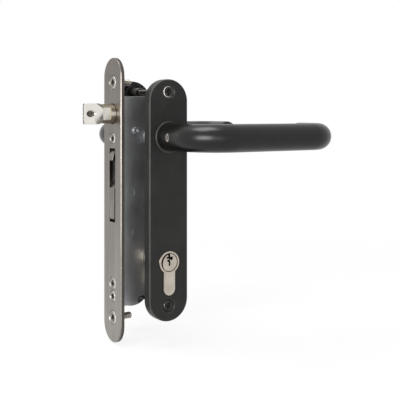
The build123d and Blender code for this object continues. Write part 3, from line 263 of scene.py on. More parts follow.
def satinBlack(name):
    # fine powder coat: a slight peel, a little tone in the colour, edges rubbed paler, rounded rims paler as
    # wear and as a painted highlight
    coating = coatings[name]
    level = coating["level"]
    darker, lighter = (level - 3, level - 3, level - 4), (level + 4, level + 4, level + 3)
    finish = Finish(name, specular=coating["specular"])
    peel = finish.noise(1500, detail=2.0)
    cloud = finish.noise(55, detail=4.0, rough=0.6)
    coat = finish.blendColours(finish.ramp(cloud, (0.35, 0.0), (0.65, 1.0)), darker, lighter)
    front = finish.facing(1)
    # the rounded rims' paleness is partly wear, partly a painted highlight
    rim = (front > 0.12) * (front < 0.96) * (1 - nearScrews(finish)) * coating["rimWearAndSheen"]
    worn = finish.rubbed(0.55).atLeast(rim * finish.ramp(cloud, (0.3, 0.6), (0.65, 1.0)))
    finish.set("baseColor", finish.blendColours(worn, coat, (level + 62, level + 61, level + 58)))
    finish.set("roughness", coating["roughness"] - 0.05 + cloud * 0.1)
    finish.bump(peel, peelDepth, 0.4)
    return finish.material


latch = {
    "nickel": ((224, 220, 213), (232, 229, 222)),
    "rubbed": (238, 235, 230),
    # painted shade: the colour of the tip's end face
    "shadedTip": (122, 117, 110),
    "tipDepth": 1.2 * mm,
    # painted shade: the colour of the shank's round near the faceplate
    "shankShade": (124, 113, 94),
    "roughness": 0.19,
    "markDepth": 0.02 * mm,
}


def latchFinish():
    # satin nickel with fine rub marks along its travel, its end face darkened as painted shade
    finish = Finish("latchNickel", metallic=1.0)
    low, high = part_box("latch_head")
    alongX = finish.part(0, finish.place)
    marks = finish.noise(1900, (0.04, 1, 1), 3.0, 0.6)
    cloud = finish.noise(90, detail=2.0)
    nickel = finish.blendColours(
        finish.ramp(cloud * 0.3 + marks * 0.7, (0.36, 0.0), (0.64, 1.0)), *latch["nickel"])
    rubbed = finish.blendColours(finish.rubbed(0.4), nickel, latch["rubbed"])
    # painted shade: the end face, looking along X, is darkened
    shadedTip = (finish.facing(0) > 0.6) * (alongX < low.x + latch["tipDepth"])
    tipShaded = finish.blendColours(shadedTip, rubbed, latch["shadedTip"])
    # the shank runs in the faceplate: beyond the head, painted shade darkens its round, its milled flat only
    # a little
    shankShaded = (alongX > high.x) * (0.12 + (finish.facing(1) < 0.97) * 0.7 + cloud * 0.1)
    finish.set("baseColor", finish.blendColours(shankShaded, tipShaded, latch["shankShade"]))
    finish.set("roughness", latch["roughness"] + marks * 0.12 + shankShaded * 0.2)
    finish.bump(marks, latch["markDepth"], 0.5)
    return finish.material


hook = {
    "cut": ((112, 107, 101), (142, 137, 131)),
    # painted shade: the colour of the flanks
    "flankShade": (66, 62, 56),
    "rubbed": (150, 146, 140),
    "roughness": 0.3,
    "markDepth": 0.03 * mm,
}


def cutSteel():
    # hook bolt: ground flanks darkened as painted shade, fine cutting lines over its edges
    finish = Finish("hookSteel", metallic=1.0)
    flank = finish.facing(1)
    ground = finish.noise(1300, (0.04, 1, 1), 3.0, 0.6)
    cutLines = finish.noise(2600, (1, 0.01, 1), 2.0, 0.6)
    cloud = finish.noise(90)
    marks = flank * ground + (1 - flank) * cutLines
    body = finish.blendColours(
        finish.ramp(marks * 0.6 + cloud * 0.4, (0.38, 0.0), (0.62, 1.0)), *hook["cut"])
    # painted shade: the flanks take the darker colour
    flankShaded = finish.blendColours(flank, body, hook["flankShade"])
    finish.set("baseColor", finish.blendColours(finish.rubbed(0.25), flankShaded, hook["rubbed"]))
    finish.set("roughness", hook["roughness"] + marks * 0.16)
    finish.bump(marks, hook["markDepth"], 0.6)
    return finish.material


cylinder = {
    "nickel": ((182, 174, 162), (200, 191, 179)),
    "rings": (150, 142, 130),
    "ringsPerMetre": 5200,
    "ringDepth": 0.02 * mm,
    "rubbed": (222, 216, 206),
    # painted shade: the colour of the chamfers
    "chamferShade": (92, 86, 78),
    "roughness": 0.26,
    # the dark joint round the plug, and the painted shade in the keyway and in a crescent by the plug
    "jointAndShade": (26, 23, 20),
    "keyReach": 6.1 * mm,  # the keyway's walls lie within this radius
    "gapHalf": 0.17 * mm,
    "crescentShift": (1.6 * mm, -0.7 * mm),  # the painted shadow crescent lies opposite this
    "crescentInner": 0.3 * mm,
    "crescentOuter": 0.2 * mm,
}


def turnedNickel():
    # profile cylinder: fine turning rings round the plug's axis, plated over
    low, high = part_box("plug_front")
    plugRadius = (high.x - low.x) / 2
    finish = Finish("cylinderNickel", metallic=1.0)
    across = finish.part(0, finish.place) - (low.x + high.x) / 2
    upright = finish.part(2, finish.place) - (low.z + high.z) / 2
    radius = (across.squared() + upright.squared()).maths("SQRT")
    rings = finish.node("ShaderNodeTexNoise", {"noise_dimensions": "1D"}, {
        "W": radius * cylinder["ringsPerMetre"], "Scale": 1.0, "Detail": 2.0})
    cloud = finish.noise(150)
    face = finish.facing(1)
    nickel = finish.blendColours(finish.ramp(cloud, (0.36, 0.0), (0.64, 1.0)), *cylinder["nickel"])
    ringed = finish.blendColours(
        face * finish.ramp(rings, (0.4, 0.0), (0.7, 0.35)), nickel, cylinder["rings"])
    worn = finish.blendColours(finish.rubbed(0.5), ringed, cylinder["rubbed"])
    # painted shade: faces partly turned from the key's side, the chamfers, take the darker colour
    chamferShaded = finish.blendColours((face > 0.3) * (face < 0.9), worn, cylinder["chamferShade"])
    # painted shade darkens the keyway's walls; the gap round the plug is a dark joint line, widened at the
    # upper left into a painted shadow crescent
    keyWalls = (face < 0.3) * (radius < cylinder["keyReach"])
    gapLine = abs(radius - plugRadius) < cylinder["gapHalf"]
    shiftX, shiftZ = cylinder["crescentShift"]
    beyond = (across - shiftX).squared() + (upright - shiftZ).squared()
    crescent = (beyond > (plugRadius + cylinder["crescentInner"]) ** 2) * (
        radius < plugRadius + cylinder["crescentOuter"])
    jointAndShade = (gapLine.atLeast(crescent) * (0.85 + cloud * 0.3)).atMost(1.0)
    finish.set("baseColor", finish.blendColours(keyWalls.atLeast(jointAndShade), chamferShaded, cylinder["jointAndShade"]))
    finish.set("roughness", cylinder["roughness"] + cloud * 0.12)
    finish.bump(face * rings, cylinder["ringDepth"], 0.5)
    return finish.material


zincPlate = {
    "haze": ((160, 161, 163), (178, 179, 180)),
    "scratches": (196, 197, 198),
    "rubbed": (206, 206, 206),
    "spangleScale": 420,
    "roughness": 0.34,
    "hazeDepth": 0.01 * mm,
}


def zincSteel():
    # zinc plate: faint spangle under a light haze, with hairline scratches
    finish = Finish("zincSteel", metallic=1.0)
    cells = finish.node("ShaderNodeTexVoronoi", {"feature": "F1"}, {
        "Vector": finish.place, "Scale": zincPlate["spangleScale"]}, 1)
    spangle = finish.node("ShaderNodeRGBToBW", inputs={0: cells})
    haze = finish.noise(70, detail=4.0)
    scratch = finish.ramp(finish.noise(700, (1, 1, 0.06), 3.0, 0.7), (0.6, 0.0), (0.72, 0.6))
    hazed = finish.blendColours(spangle * 0.3 + haze * 0.7, *zincPlate["haze"])
    scratched = finish.blendColours(scratch, hazed, zincPlate["scratches"])
    finish.set("baseColor", finish.blendColours(finish.rubbed(0.6), scratched, zincPlate["rubbed"]))
    finish.set("roughness", zincPlate["roughness"] + haze * 0.16)
    finish.bump(haze + spangle * 0.1, zincPlate["hazeDepth"], 0.4)
    return finish.material


springWire = {
    "drawn": ((92, 92, 94), (134, 134, 136)),
    "roughness": 0.28,
    "drawDepth": 0.01 * mm,
}


def springSteel():
    finish = Finish("springSteel", metallic=1.0)
    drawn = finish.noise(1700, (0.2, 1, 1), 2.0)
    finish.set("baseColor", finish.blendColours(drawn, *springWire["drawn"]))
    finish.set("roughness", springWire["roughness"] + drawn * 0.1)
    finish.bump(drawn, springWire["drawDepth"], 0.4)
    return finish.material


# lowWear is how much of the rim's wear a screw in the lower half keeps; recess is the colour of the painted
# shade in the cross recess
plating = {
    "steelScrew": {
        "body": ((132, 127, 120), (166, 161, 154)), "recess": (26, 23, 21), "rim": (204, 200, 194),
        "lowWear": 1.0},
    "lockScrew": {
        "body": ((84, 78, 70), (118, 112, 102)), "recess": (22, 19, 17), "rim": (150, 144, 134),
        "lowWear": 1.0},
    "grubSteel": {
        "body": ((178, 174, 168), (212, 208, 202)), "recess": (26, 23, 21), "rim": (204, 200, 194),
        "lowWear": 1.0},
    "blackScrew": {
        "body": ((46, 45, 43), (72, 70, 68)), "recess": (14, 13, 12), "rim": (222, 219, 214),
        "lowWear": 0.08},
}
screwGrainDepth = 0.01 * mm


def screwFinish(name):
    # plated screw: turned grain, a rim rubbed bright, the recess darkened as painted shade
    tones = plating[name]
    finish = Finish(name)
    # painted shade: the recess mask darkens the cross recess
    recessShade = finish.mask("recess")
    used = tones["lowWear"] + (finish.part(2, finish.place) > 0.0) * (1 - tones["lowWear"])
    worn = finish.mask("rim") * used
    grain = finish.noise(2200, detail=3.0)
    body = finish.blendColours(finish.ramp(grain, (0.36, 0.0), (0.64, 1.0)), *tones["body"])
    rimmed = finish.blendColours(worn, body, tones["rim"])
    finish.set("baseColor", finish.blendColours(recessShade, rimmed, tones["recess"]))
    finish.set("metallic", (1 - recessShade * 0.8 - worn * 0.85).atLeast(0.0))
    finish.set("roughness", 0.28 + grain * 0.14 + recessShade * 0.35)
    finish.bump(grain, screwGrainDepth, 0.4)
    return finish.material


steel = brushedSteel()
plateBlack, bushBlack, leverBlack = [satinBlack(name) for name in coatings]
latchNickel = latchFinish()
hookSteel = cutSteel()
cylinderNickel = turnedNickel()
zinc = zincSteel()
spring = springSteel()
steelScrew, lockScrew, grubSteel, blackScrew = [screwFinish(name) for name in plating]
print("finishes made")


def linked(name, data):
    thing = bpy.data.objects.new(name, data)
    bpy.context.scene.collection.objects.link(thing)
    return thing


def finishedMesh(thing):
    # the object's mesh after its modifiers; the object itself goes
    mesh = bpy.data.meshes.new_from_object(thing.evaluated_get(bpy.context.evaluated_depsgraph_get()))
    bpy.data.objects.remove(thing)
    return mesh


def settle(name, mesh, node, material):
    # the finished piece takes the node's place, on the node's body
    piece = linked(name, mesh)
    mesh.materials.clear()
    mesh.materials.append(material)
    for face in mesh.polygons:
        face.material_index = 0
    body = next(body for body, members in frame["record"]["behaviour"]["bodies"].items() if node in members)
    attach(piece, body)
    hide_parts(node)
    return piece


# pieces taken from the frame's solids: flat faces joined, curves smooth, edges softened

softEdges = {  # finish, and the softened edge's width in mm
    "faceplate": (steel, 0.12),
    "plate_front": (plateBlack, 0.1),
    "plate_rear": (plateBlack, 0.1),
    "bush_front": (bushBlack, 0.1),
    "bush_rear": (bushBlack, 0.1),
    "case_shell": (zinc, 0.15),
    "case_cover": (zinc, 0.12),
    "latch_head": (latchNickel, 0.25),
    "latch_shank": (latchNickel, 0.12),
    "latch_lock_screw": (lockScrew, 0.06),
    "hook_bolt": (hookSteel, 0.05),
    "cylinder_body": (cylinderNickel, 0.08),
    "plug_front": (cylinderNickel, 0.06),
    "plug_rear": (cylinderNickel, 0.06),
    "spindle": (zinc, 0.1),
    "cover_screws": (zinc, 0.06),
    "case_pillars": (zinc, 0.1),
    "follower": (zinc, 0.12),
    "grub_screws": (grubSteel, 0.12),
    "sleeve_nuts": (blackScrew, 0.08),
}
softening = {  # angles in degrees
    "mergeDistance": 2e-6,
    "flatAngle": 0.6,
    "sharpAngle": 32,
    "bevelAngle": 40,
    "bevelSegments": 2,
    "bevelSlot": 1,
}

# zig-zag keyway, from the plug's axis in mm, seen from the key's side: right side down, left side up
keyway = {
    "right": ((0.8, 6.1), (0.6, 4.5), (1.2, 3.8), (3.1, 4.4), (2.9, 2.3), (1.8, 1.3), (0.5, 2.4), (0.4, 1.2),
              (0.8, 0.5), (0.8, -1.8), (0.3, -2.5)),
    "left": ((-0.6, -2.5), (-0.5, 0.3), (-1.8, 1.0), (-1.7, 2.1), (-0.4, 2.0), (-0.3, 2.9), (-2.5, 3.0),
             (-2.3, 4.1), (-0.6, 4.4), (-1.2, 5.3), (-1.0, 6.1)),
    "depth": 26 * mm,
    "overrun": 1 * mm,  # the cutter starts this far outside the plug
}


def keywayCutter(node):
    # a prism of the keyway's outline, run in from the plug's free end
    low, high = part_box(node)
    axisX, axisZ = (low.x + high.x) / 2, (low.z + high.z) / 2
    side = -1 if node == "plug_front" else 1
    endY = low.y if side < 0 else high.y
    outline = keyway["right"] + keyway["left"]
    build = bmesh.new()
    rims = [[build.verts.new((axisX - side * x * mm, y, axisZ + z * mm)) for x, z in outline]
            for y in (endY + side * keyway["overrun"], endY - side * keyway["depth"])]
    for index in range(len(outline)):
        after = (index + 1) % len(outline)
        build.faces.new((rims[0][index], rims[0][after], rims[1][after], rims[1][index]))
    for rim in rims:
        build.faces.new(rim)
    bmesh.ops.recalc_face_normals(build, faces=build.faces)
    mesh = bpy.data.meshes.new(node + "Keyway")
    build.to_mesh(mesh)
    build.free()
    return linked(node + "Keyway", mesh)


def softened(node, material, edge):
    mesh = bpy.data.meshes.new(node + "Skin")
    build = bmesh.new()
    build.from_mesh(nodes[node].data)
    bmesh.ops.remove_doubles(build, verts=build.verts, dist=softening["mergeDistance"])
    bmesh.ops.dissolve_limit(
        build, angle_limit=radians(softening["flatAngle"]), verts=build.verts, edges=build.edges)
    for face in build.faces:
        face.smooth = True
    build.to_mesh(mesh)
    build.free()
    mesh.set_sharp_from_angle(angle=radians(softening["sharpAngle"]))
    # the second slot takes the bevels, so that they can be told apart below
    mesh.materials.append(material)
    mesh.materials.append(material)
    skin = linked(node + "Skin", mesh)
    cutter = keywayCutter(node) if node.startswith("plug") else None
    if cutter:
        slotted = skin.modifiers.new("keyway", "BOOLEAN")
        slotted.solver = "MANIFOLD"
        slotted.object = cutter
    bevel = skin.modifiers.new("edges", "BEVEL")
    bevel.width = edge * mm
    bevel.segments = softening["bevelSegments"]
    bevel.limit_method = "ANGLE"
    bevel.angle_limit = radians(softening["bevelAngle"])
    bevel.harden_normals = True
    bevel.use_clamp_overlap = False
    bevel.material = softening["bevelSlot"]
    softer = finishedMesh(skin)
    if cutter:
        bpy.data.objects.remove(cutter)
    mask = softer.attributes.new("edge", "FLOAT", "CORNER")
    for face in softer.polygons:
        for corner in face.loop_indices:
            mask.data[corner].value = float(face.material_index == softening["bevelSlot"])
    settle(node + "Skin", softer, node, material)


for node, (material, edge) in softEdges.items():
    softened(node, material, edge)
print("solids softened")


# node trees that grow the levers, screws and springs

def newTree(name, **sockets):
    tree = bpy.data.node_groups.new(name, "GeometryNodeTree")
    tree.interface.new_socket("Geometry", in_out="OUTPUT", socket_type="NodeSocketGeometry")
    for label, kind in sockets.items():
        tree.interface.new_socket(label, in_out="INPUT", socket_type="NodeSocket" + kind)
    group = tree.nodes.new("NodeGroupInput")
    return tree, {socket.name: Wire(tree, socket) for socket in group.outputs if socket.name}


def endTree(tree, shape, finish):
    real = addNode(tree, "GeometryNodeRealizeInstances", inputs={0: shape})
    done = addNode(tree, "GeometryNodeSetMaterial", inputs={"Geometry": real, "Material": finish})
    tree.links.new(done.socket, tree.nodes.new("NodeGroupOutput").inputs[0])
    return tree


def moved(tree, shape, place=(0, 0, 0), turn=(0, 0, 0), size=(1, 1, 1)):
    return addNode(tree, "GeometryNodeTransform", inputs={
        "Geometry": shape, "Translation": place, "Rotation": turn, "Scale": size})


def vector(tree, x, y, z):
    return addNode(tree, "ShaderNodeCombineXYZ", inputs={0: x, 1: y, 2: z})


def position(tree):
    spot = addNode(tree, "GeometryNodeInputPosition")
    return [addNode(tree, "ShaderNodeSeparateXYZ", inputs={0: spot}, output=axis) for axis in range(3)]


def shaped(tree, shape, x, y, z):
    return addNode(tree, "GeometryNodeSetPosition", inputs={
        "Geometry": shape, "Position": vector(tree, x, y, z)})


def evenSteps(tree, curve, step):
    return addNode(tree, "GeometryNodeResampleCurve", {"mode": "LENGTH"}, {"Curve": curve, "Length": step})


def swept(tree, curve, radius, sides, scale=1.0):
    ring = addNode(tree, "GeometryNodeCurvePrimitiveCircle", inputs={"Resolution": sides, "Radius": radius})
    return addNode(tree, "GeometryNodeCurveToMesh", inputs={
        "Curve": curve, "Profile Curve": ring, "Scale": scale, "Fill Caps": True})


def cut(tree, shape, *cutters):
    return addNode(tree, "GeometryNodeMeshBoolean", {"operation": "DIFFERENCE", "solver": "MANIFOLD"}, {
        "Mesh 1": shape, "Mesh 2": list(cutters)})


def marked(tree, shape, name, value):
    return addNode(tree, "GeometryNodeStoreNamedAttribute", {"data_type": "FLOAT", "domain": "FACE"}, {
        "Geometry": shape, "Name": name, "Value": value})


def setAt(tree, given, shape):
    # a copy of the shape at each place, its own Z along the given facing
    turn = addNode(tree, "FunctionNodeAlignRotationToVector", {"axis": "Z"}, {"Vector": given["facing"]})
    return addNode(tree, "GeometryNodeInstanceOnPoints", inputs={
        "Points": given["places"], "Instance": shape, "Rotation": turn})


def grown(name, points, edges, tree, inputs):
    # runs a node tree on a few points and returns its result as a plain mesh
    mesh = bpy.data.meshes.new(name)
    mesh.from_pydata(points, edges, [])
    seed = linked(name, mesh)
    modifier = seed.modifiers.new("grow", "NODES")
    modifier.node_group = tree
    sockets = {item.name: item.identifier for item in tree.interface.items_tree if item.in_out == "INPUT"}
    for label, value in inputs.items():
        modifier[sockets[label]] = value
    return finishedMesh(seed)


def smoothed(mesh, sharpAngle):
    for face in mesh.polygons:
        face.use_smooth = True
    mesh.set_sharp_from_angle(angle=radians(sharpAngle))


# lever: a round bar that follows a path with two bends

lever = {
    "barRadius": 10 * mm,
    "firstBend": 25 * mm,
    "lastBend": 15 * mm,
    "bendSteps": 24,
    "endRound": 3 * mm,
    "freeEnd": 48 * mm,  # from the lock's middle to the bar's free end
    "step": 0.7 * mm,
    "sides": 56,
    "sharpAngle": 50,
    "grubRadius": 3.05 * mm,
    "grubInset": 9 * mm,  # from the neck's axis to the middle of the grub screw's hole
    "grubPlace": 47 * mm,  # from the lock's middle
    "grubSides": 40,
    "socketWidth": 8.1 * mm,
    "socketDepth": 40 * mm,
    "socketEnd": 55.6 * mm,  # from the lock's middle
}


def barTree():
    tree, given = newTree(
        "bentBar", corners="Geometry", barRadius="Float", firstBend="Float", lastBend="Float",
        endRound="Float", step="Float", sides="Int", grubRadius="Float", grubCentre="Vector",
        socketSize="Vector", socketCentre="Vector", finish="Material")
    isLast = addNode(tree, "GeometryNodeInputIndex") > 1.5
    bend = given["firstBend"] + isLast * (given["lastBend"] - given["firstBend"])
    line = addNode(tree, "GeometryNodeMeshToCurve", inputs={0: given["corners"]})
    bent = addNode(tree, "GeometryNodeFilletCurve", {"mode": "POLY"}, {
        "Curve": line, "Count": lever["bendSteps"], "Radius": bend})
    even = evenSteps(tree, bent, given["step"])
    along = addNode(tree, "GeometryNodeSplineParameter", output=1)
    whole = addNode(tree, "GeometryNodeSplineLength")
    # within the last few mm the bar's radius follows a quarter circle
    inset = (given["endRound"] - (whole - along)).atLeast(0.0)
    drop = given["endRound"] - (given["endRound"].squared() - inset.squared()).maths("SQRT")
    bar = swept(
        tree, even, given["barRadius"], given["sides"],
        scale=(given["barRadius"] - drop) / given["barRadius"])
    smooth = addNode(tree, "GeometryNodeSetShadeSmooth", inputs={0: bar})
    grubHole = addNode(tree, "GeometryNodeMeshCylinder", inputs={
        "Vertices": lever["grubSides"], "Radius": given["grubRadius"], "Depth": given["barRadius"]})
    socket = addNode(tree, "GeometryNodeMeshCube", inputs={"Size": given["socketSize"]})
    drilled = cut(
        tree, smooth, moved(tree, grubHole, given["grubCentre"], (0, pi / 2, 0)),
        moved(tree, socket, given["socketCentre"]))
    return endTree(tree, drilled, given["finish"])


def makeLevers():
    tree = barTree()
    radius = lever["barRadius"]
    width, depth = lever["socketWidth"], lever["socketDepth"]
    for node, side in (("lever_front", -1), ("lever_rear", 1)):
        low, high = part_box(node)
        axisX, axisZ = low.x + radius, (low.z + high.z) / 2
        outerX = high.x - radius
        neckY, gripY = (high.y, low.y + radius) if side < 0 else (low.y, high.y - radius)
        corners = [(axisX, neckY, axisZ), (axisX, gripY, axisZ), (outerX, gripY, axisZ),
                   (outerX, side * lever["freeEnd"], axisZ)]
        mesh = grown(node + "Path", corners, [(0, 1), (1, 2), (2, 3)], tree, {
            "barRadius": radius, "firstBend": lever["firstBend"], "lastBend": lever["lastBend"],
            "endRound": lever["endRound"], "step": lever["step"], "sides": lever["sides"],
            "grubRadius": lever["grubRadius"],
            "grubCentre": (axisX - lever["grubInset"], side * lever["grubPlace"], axisZ),
            "socketSize": (width, depth, width),
            "socketCentre": (axisX, side * (lever["socketEnd"] - depth / 2), axisZ),
            "finish": leverBlack})
        mesh.set_sharp_from_angle(angle=radians(lever["sharpAngle"]))
        settle(node + "Bar", mesh, node, leverBlack)


makeLevers()
print("levers made")


# countersunk screws: one tree turns, threads and recesses a screw and sets it at each place

screws = {  # diameters and pitch in mm
    "faceplate_screws": {
        "head": 9.4, "shank": 5.0, "pitch": 0.8, "finish": steelScrew, "facing": (-1, 0, 0), "seed": 3},
    "case_screws": {
        "head": 7.5, "shank": 4.0, "pitch": 0.7, "finish": steelScrew, "facing": (-1, 0, 0), "seed": 8},
    "cylinder_screw": {
        "head": 8.4, "shank": 5.0, "pitch": 0.8, "finish": steelScrew, "facing": (-1, 0, 0), "seed": 5},
    "plate_screws": {
        "head": 8.4, "shank": 5.0, "pitch": 0.8, "finish": blackScrew, "facing": (0, -1, 0), "seed": 2},
}
screwCut = {
    "rim": 0.35 * mm,
    "edge": 0.5 * mm,
    "point": 0.6 * mm,
    "plainNeck": 1.2 * mm,  # between the head's cone and the thread
    "threadDepth": 0.28 * mm,
    "step": 0.15 * mm,
    "sides": 32,
    "sharpAngle": 35,
    "recessWidth": 1.3 * mm,
    "recessDepth": 1.5 * mm,
    "recessLift": 0.08 * mm,
    "recessShare": 0.62,  # of the head's radius
    "recessTaper": (0.98, 1.4142),  # a four-sided cone's radii; the second gives a square 2 wide
    "centreShare": 0.55,  # of the recess's reach
    "centreDepth": 0.8,  # of the recess's depth
    "maskSlack": 1.05,
    "maskTop": 0.02 * mm,
    "rimShare": 0.8,  # of the head's radius
    "rimDepth": 0.4,  # of the head's radius
    "stopAngle": 0.6,  # radians either way
}


def screwTree():
    tree, given = newTree(
        "recessScrew", places="Geometry", headRadius="Float", shankRadius="Float", length="Float",
        pitch="Float", facing="Vector", seed="Int", finish="Material")
    head, shank, length = given["headRadius"], given["shankRadius"], given["length"]
    line = addNode(tree, "GeometryNodeCurvePrimitiveLine", inputs={
        "End": vector(tree, 0.0, 0.0, length * -1.0)})
    fine = evenSteps(tree, line, screwCut["step"])
    x, y, z = position(tree)
    depth = z * -1.0
    cone = (head + screwCut["rim"] - depth).atMost(head)
    turned = cone.atLeast(shank).atMost(head - screwCut["edge"] + depth)
    pointed = turned.atMost(shank - screwCut["point"] + length - depth)
    blank = swept(tree, fine, mm, screwCut["sides"], scale=pointed / mm)
    # thread: the radius follows a saw of depth and angle below the head
    angle = y.maths("ARCTAN2", x) / (2 * pi)
    turnShare = (depth / given["pitch"] + angle).maths("FRACT")
    threadStart = head - shank + screwCut["rim"] + screwCut["plainNeck"]
    groove = abs(turnShare * 2 - 1) * (depth > threadStart)
    radial = (x.squared() + y.squared()).maths("SQRT")
    shrink = 1 - groove * screwCut["threadDepth"] / radial.atLeast(0.5 * mm)
    threaded = shaped(tree, blank, x * shrink, y * shrink, z)
    # cross recess: two tapered blades and a square centre
    reach = head * screwCut["recessShare"]
    width = screwCut["recessWidth"] / 2
    narrow, wide = screwCut["recessTaper"]
    blade = addNode(tree, "GeometryNodeMeshCone", inputs={
        "Vertices": 4, "Radius Top": narrow, "Radius Bottom": wide, "Depth": screwCut["recessDepth"]})
    square = moved(tree, blade, (0, 0, screwCut["recessLift"]), (pi, 0, pi / 4))
    centre = reach * screwCut["centreShare"]
    crossed = cut(
        tree, threaded, moved(tree, square, size=vector(tree, reach, width, 1.0)),
        moved(tree, square, size=vector(tree, width, reach, 1.0)),
        moved(tree, square, size=vector(tree, centre, centre, screwCut["centreDepth"])))
    # masks for the finish: the recess below its edge, and the head's outer ring
    slack = screwCut["maskSlack"]
    inside = (radial < reach * slack) * (depth > screwCut["maskTop"]) * (
        depth < screwCut["recessDepth"] * slack)
    outermost = (radial > head * screwCut["rimShare"]) * (depth < head * screwCut["rimDepth"])
    masked = marked(tree, marked(tree, crossed, "recess", inside), "rim", outermost)
    placed = setAt(tree, given, masked)
    # each screw was stopped at its own angle
    turn = addNode(tree, "FunctionNodeRandomValue", inputs={
        2: -screwCut["stopAngle"], 3: screwCut["stopAngle"], "Seed": given["seed"]}, output=1)
    stopped = addNode(tree, "GeometryNodeRotateInstances", inputs={
        "Instances": placed, "Rotation": vector(tree, 0.0, 0.0, turn)})
    return endTree(tree, stopped, given["finish"])


def makeScrews():
    tree = screwTree()
    for node, screw in screws.items():
        low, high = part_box(node)
        radius = screw["head"] / 2 * mm
        isPair = high.z - low.z > 4 * radius
        heights = [low.z + radius, high.z - radius] if isPair else [(low.z + high.z) / 2]
        if screw["facing"][0]:
            points = [(low.x, 0, height) for height in heights]
            length = high.x - low.x
        else:
            points = [((low.x + high.x) / 2, low.y, height) for height in heights]
            length = high.y - low.y
        mesh = grown(node + "Places", points, [], tree, {
            "headRadius": radius, "shankRadius": screw["shank"] / 2 * mm, "length": length,
            "pitch": screw["pitch"] * mm, "facing": screw["facing"], "seed": screw["seed"],
            "finish": screw["finish"]})
        smoothed(mesh, screwCut["sharpAngle"])
        settle(node + "Turned", mesh, node, screw["finish"])


makeScrews()
print("screws made")


# springs: round wire wound from end to end, closer at both ends

springs = {  # radii and way pressed in mm
    "latch_spring": {
        "coil": 3.7, "wire": 0.45, "turns": 7.0, "facing": (1, 0, 0), "joint": "latch_slide", "pressed": 9.6},
    "return_spring": {
        "coil": 2.4, "wire": 0.45, "turns": 7.0, "facing": (0, 0, 1), "joint": "handle_turn", "pressed": 8.0},
}
winding = {
    "crowding": 0.7,
    "stepsPerTurn": 40,
    "sides": 12,
    "sharpAngle": 50,
}


def springTree():
    tree, given = newTree(
        "woundSpring", places="Geometry", coilRadius="Float", wireRadius="Float", turns="Float",
        length="Float", facing="Vector", finish="Material")
    rise = given["length"] - given["wireRadius"] * 2.0
    coil = addNode(tree, "GeometryNodeCurveSpiral", inputs={
        "Resolution": winding["stepsPerTurn"], "Rotations": given["turns"],
        "Start Radius": given["coilRadius"], "End Radius": given["coilRadius"], "Height": rise})
    x, y, z = position(tree)
    share = z / rise
    wave = (share * (2 * pi)).maths("SINE")
    closed = given["wireRadius"] + rise * (share - wave * (winding["crowding"] / (2 * pi)))
    wire = swept(tree, shaped(tree, coil, x, y, closed), given["wireRadius"], winding["sides"])
    return endTree(tree, setAt(tree, given, wire), given["finish"])


def makeSprings():
    tree = springTree()
    for node, sizes in springs.items():
        low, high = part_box(node)
        middle = (low + high) / 2
        if sizes["facing"][0]:
            length = high.x - low.x
            start, fixedEnd = (low.x, middle.y, middle.z), (high.x, middle.y, middle.z)
        else:
            length = high.z - low.z
            start = fixedEnd = (middle.x, middle.y, low.z)
        mesh = grown(node + "Start", [start], [], tree, {
            "coilRadius": sizes["coil"] * mm, "wireRadius": sizes["wire"] * mm, "turns": sizes["turns"],
            "length": length, "facing": sizes["facing"], "finish": spring})
        smoothed(mesh, winding["sharpAngle"])
        coil = settle(node + "Coil", mesh, node, spring)
        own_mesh(coil)


makeSprings()
print("springs made")


# every node of the frame has its finish; it shows on those that stay as they are

slotFinish = {
    "spring_steel": spring, "zinc_steel": zinc, "case_steel": zinc, "black_coating": plateBlack,
    "black_lever": leverBlack, "latch_nickel": latchNickel, "hook_steel": hookSteel,
    "cylinder_nickel": cylinderNickel, "faceplate_steel": steel,
}
for piece in frame["record"]["subparts"]:
    data = nodes[piece["node"]].data
    data.materials.clear()
    data.materials.append(slotFinish[piece["material_slot"]])


# camera, floor and light

camera = {
    "place": (-271.03 * mm, -552.23 * mm, 66.28 * mm),
    "heading": 32.04,
    "lens": 73.33,
    "sensor": 36,
    "horizonRow": 111.41,
    "imageSize": 400,
    "nearest": 0.01,
    "furthest": 20,
}
studio = {
    "white": (1.0, 1.0, 1.0),
    "floorZ": cadBox[0].z - 1 * mm,
    "floorSize": 6.0,
    "floorTone": (0.9, 0.9, 0.9),
    "floorRoughness": 0.9,
    "nearGlow": 0.86,
    "glowFade": 2.5,
    "worldLevel": 0.5,
}
lamps = {  # place, aim, size across and up, radiance
    "overheadLamp": ((-0.32, 0.04, 1.3), (0.03, -0.05, 0.0), (0.72, 0.72), 8.2),
    "frontLamp": ((-0.52, -1.1, 0.05), (0.05, -0.05, 0.04), (0.5, 0.5), 2.0),
    "sideLamp": ((-1.1, -0.69, 0.08), (0.03, -0.05, 0.0), (0.78, 0.78), 11.3),
}


def makeCamera():
    view = linked("photoCamera", bpy.data.cameras.new("photoCamera"))
    view.location = camera["place"]
    view.rotation_euler = (radians(90), 0, -radians(camera["heading"]))
    view.data.lens = camera["lens"]
    view.data.sensor_width = camera["sensor"]
    view.data.shift_y = (camera["horizonRow"] - camera["imageSize"] / 2) / camera["imageSize"]
    view.data.clip_start = camera["nearest"]
    view.data.clip_end = camera["furthest"]
    bpy.context.scene.camera = view


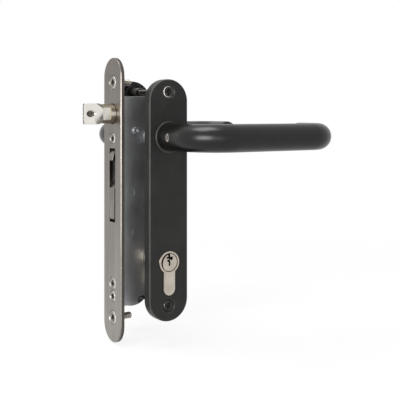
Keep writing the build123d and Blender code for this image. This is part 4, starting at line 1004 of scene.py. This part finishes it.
def seenRays(tree):
    # 1 for rays from the camera, off gloss and through glass
    rays = tree.nodes.new("ShaderNodeLightPath")
    return sum([Wire(tree, rays.outputs[name]) for name in ("Is Glossy Ray", "Is Transmission Ray")],
               Wire(tree, rays.outputs["Is Camera Ray"]))


def makeFloor():
    size = studio["floorSize"]
    mesh = bpy.data.meshes.new("floor")
    corners = [(-size, -size), (size, -size), (size, size), (-size, size)]
    mesh.from_pydata([(x, y, studio["floorZ"]) for x, y in corners], [], [(0, 1, 2, 3)])
    floor = linked("floor", mesh)
    finish = Finish("floorWhite", baseColor=studio["floorTone"], roughness=studio["floorRoughness"])
    x, y = finish.part(0, finish.place), finish.part(1, finish.place)
    # away from the lock the floor runs into the white backdrop
    far = ((x.squared() + y.squared()) * studio["glowFade"]).atMost(1.0)
    share = seenRays(finish.tree) * (studio["nearGlow"] + far * (1 - studio["nearGlow"]))
    glow = finish.node("ShaderNodeEmission", inputs={"Color": studio["white"], "Strength": 1.0})
    mixed = finish.node("ShaderNodeMixShader", inputs={
        0: share, 1: Wire(finish.tree, finish.shader.outputs[0]), 2: glow})
    finish.tree.links.new(mixed.socket, finish.tree.nodes["Material Output"].inputs["Surface"])
    mesh.materials.append(finish.material)


def makeWorld():
    world = bpy.data.worlds.new("studio")
    bpy.context.scene.world = world
    world.use_nodes = True
    tree = world.node_tree
    tree.nodes.clear()
    level = studio["worldLevel"]
    light = addNode(tree, "ShaderNodeBackground", inputs={
        "Color": studio["white"], "Strength": level + seenRays(tree) * (1 - level)})
    tree.links.new(light.socket, tree.nodes.new("ShaderNodeOutputWorld").inputs["Surface"])


def softLamp(name, place, aim, size, radiance):
    lamp = linked(name, bpy.data.lights.new(name, "AREA"))
    lamp.data.shape = "RECTANGLE"
    lamp.data.size, lamp.data.size_y = size
    lamp.data.energy = radiance * pi * size[0] * size[1]
    lamp.location = place
    lamp.rotation_euler = (Vector(aim) - Vector(place)).to_track_quat("-Z", "Y").to_euler()
    lamp.visible_camera = False


makeCamera()
makeFloor()
makeWorld()
for name, settings in lamps.items():
    softLamp(name, *settings)
bpy.context.scene.view_settings.view_transform = "Standard"
print("studio set")
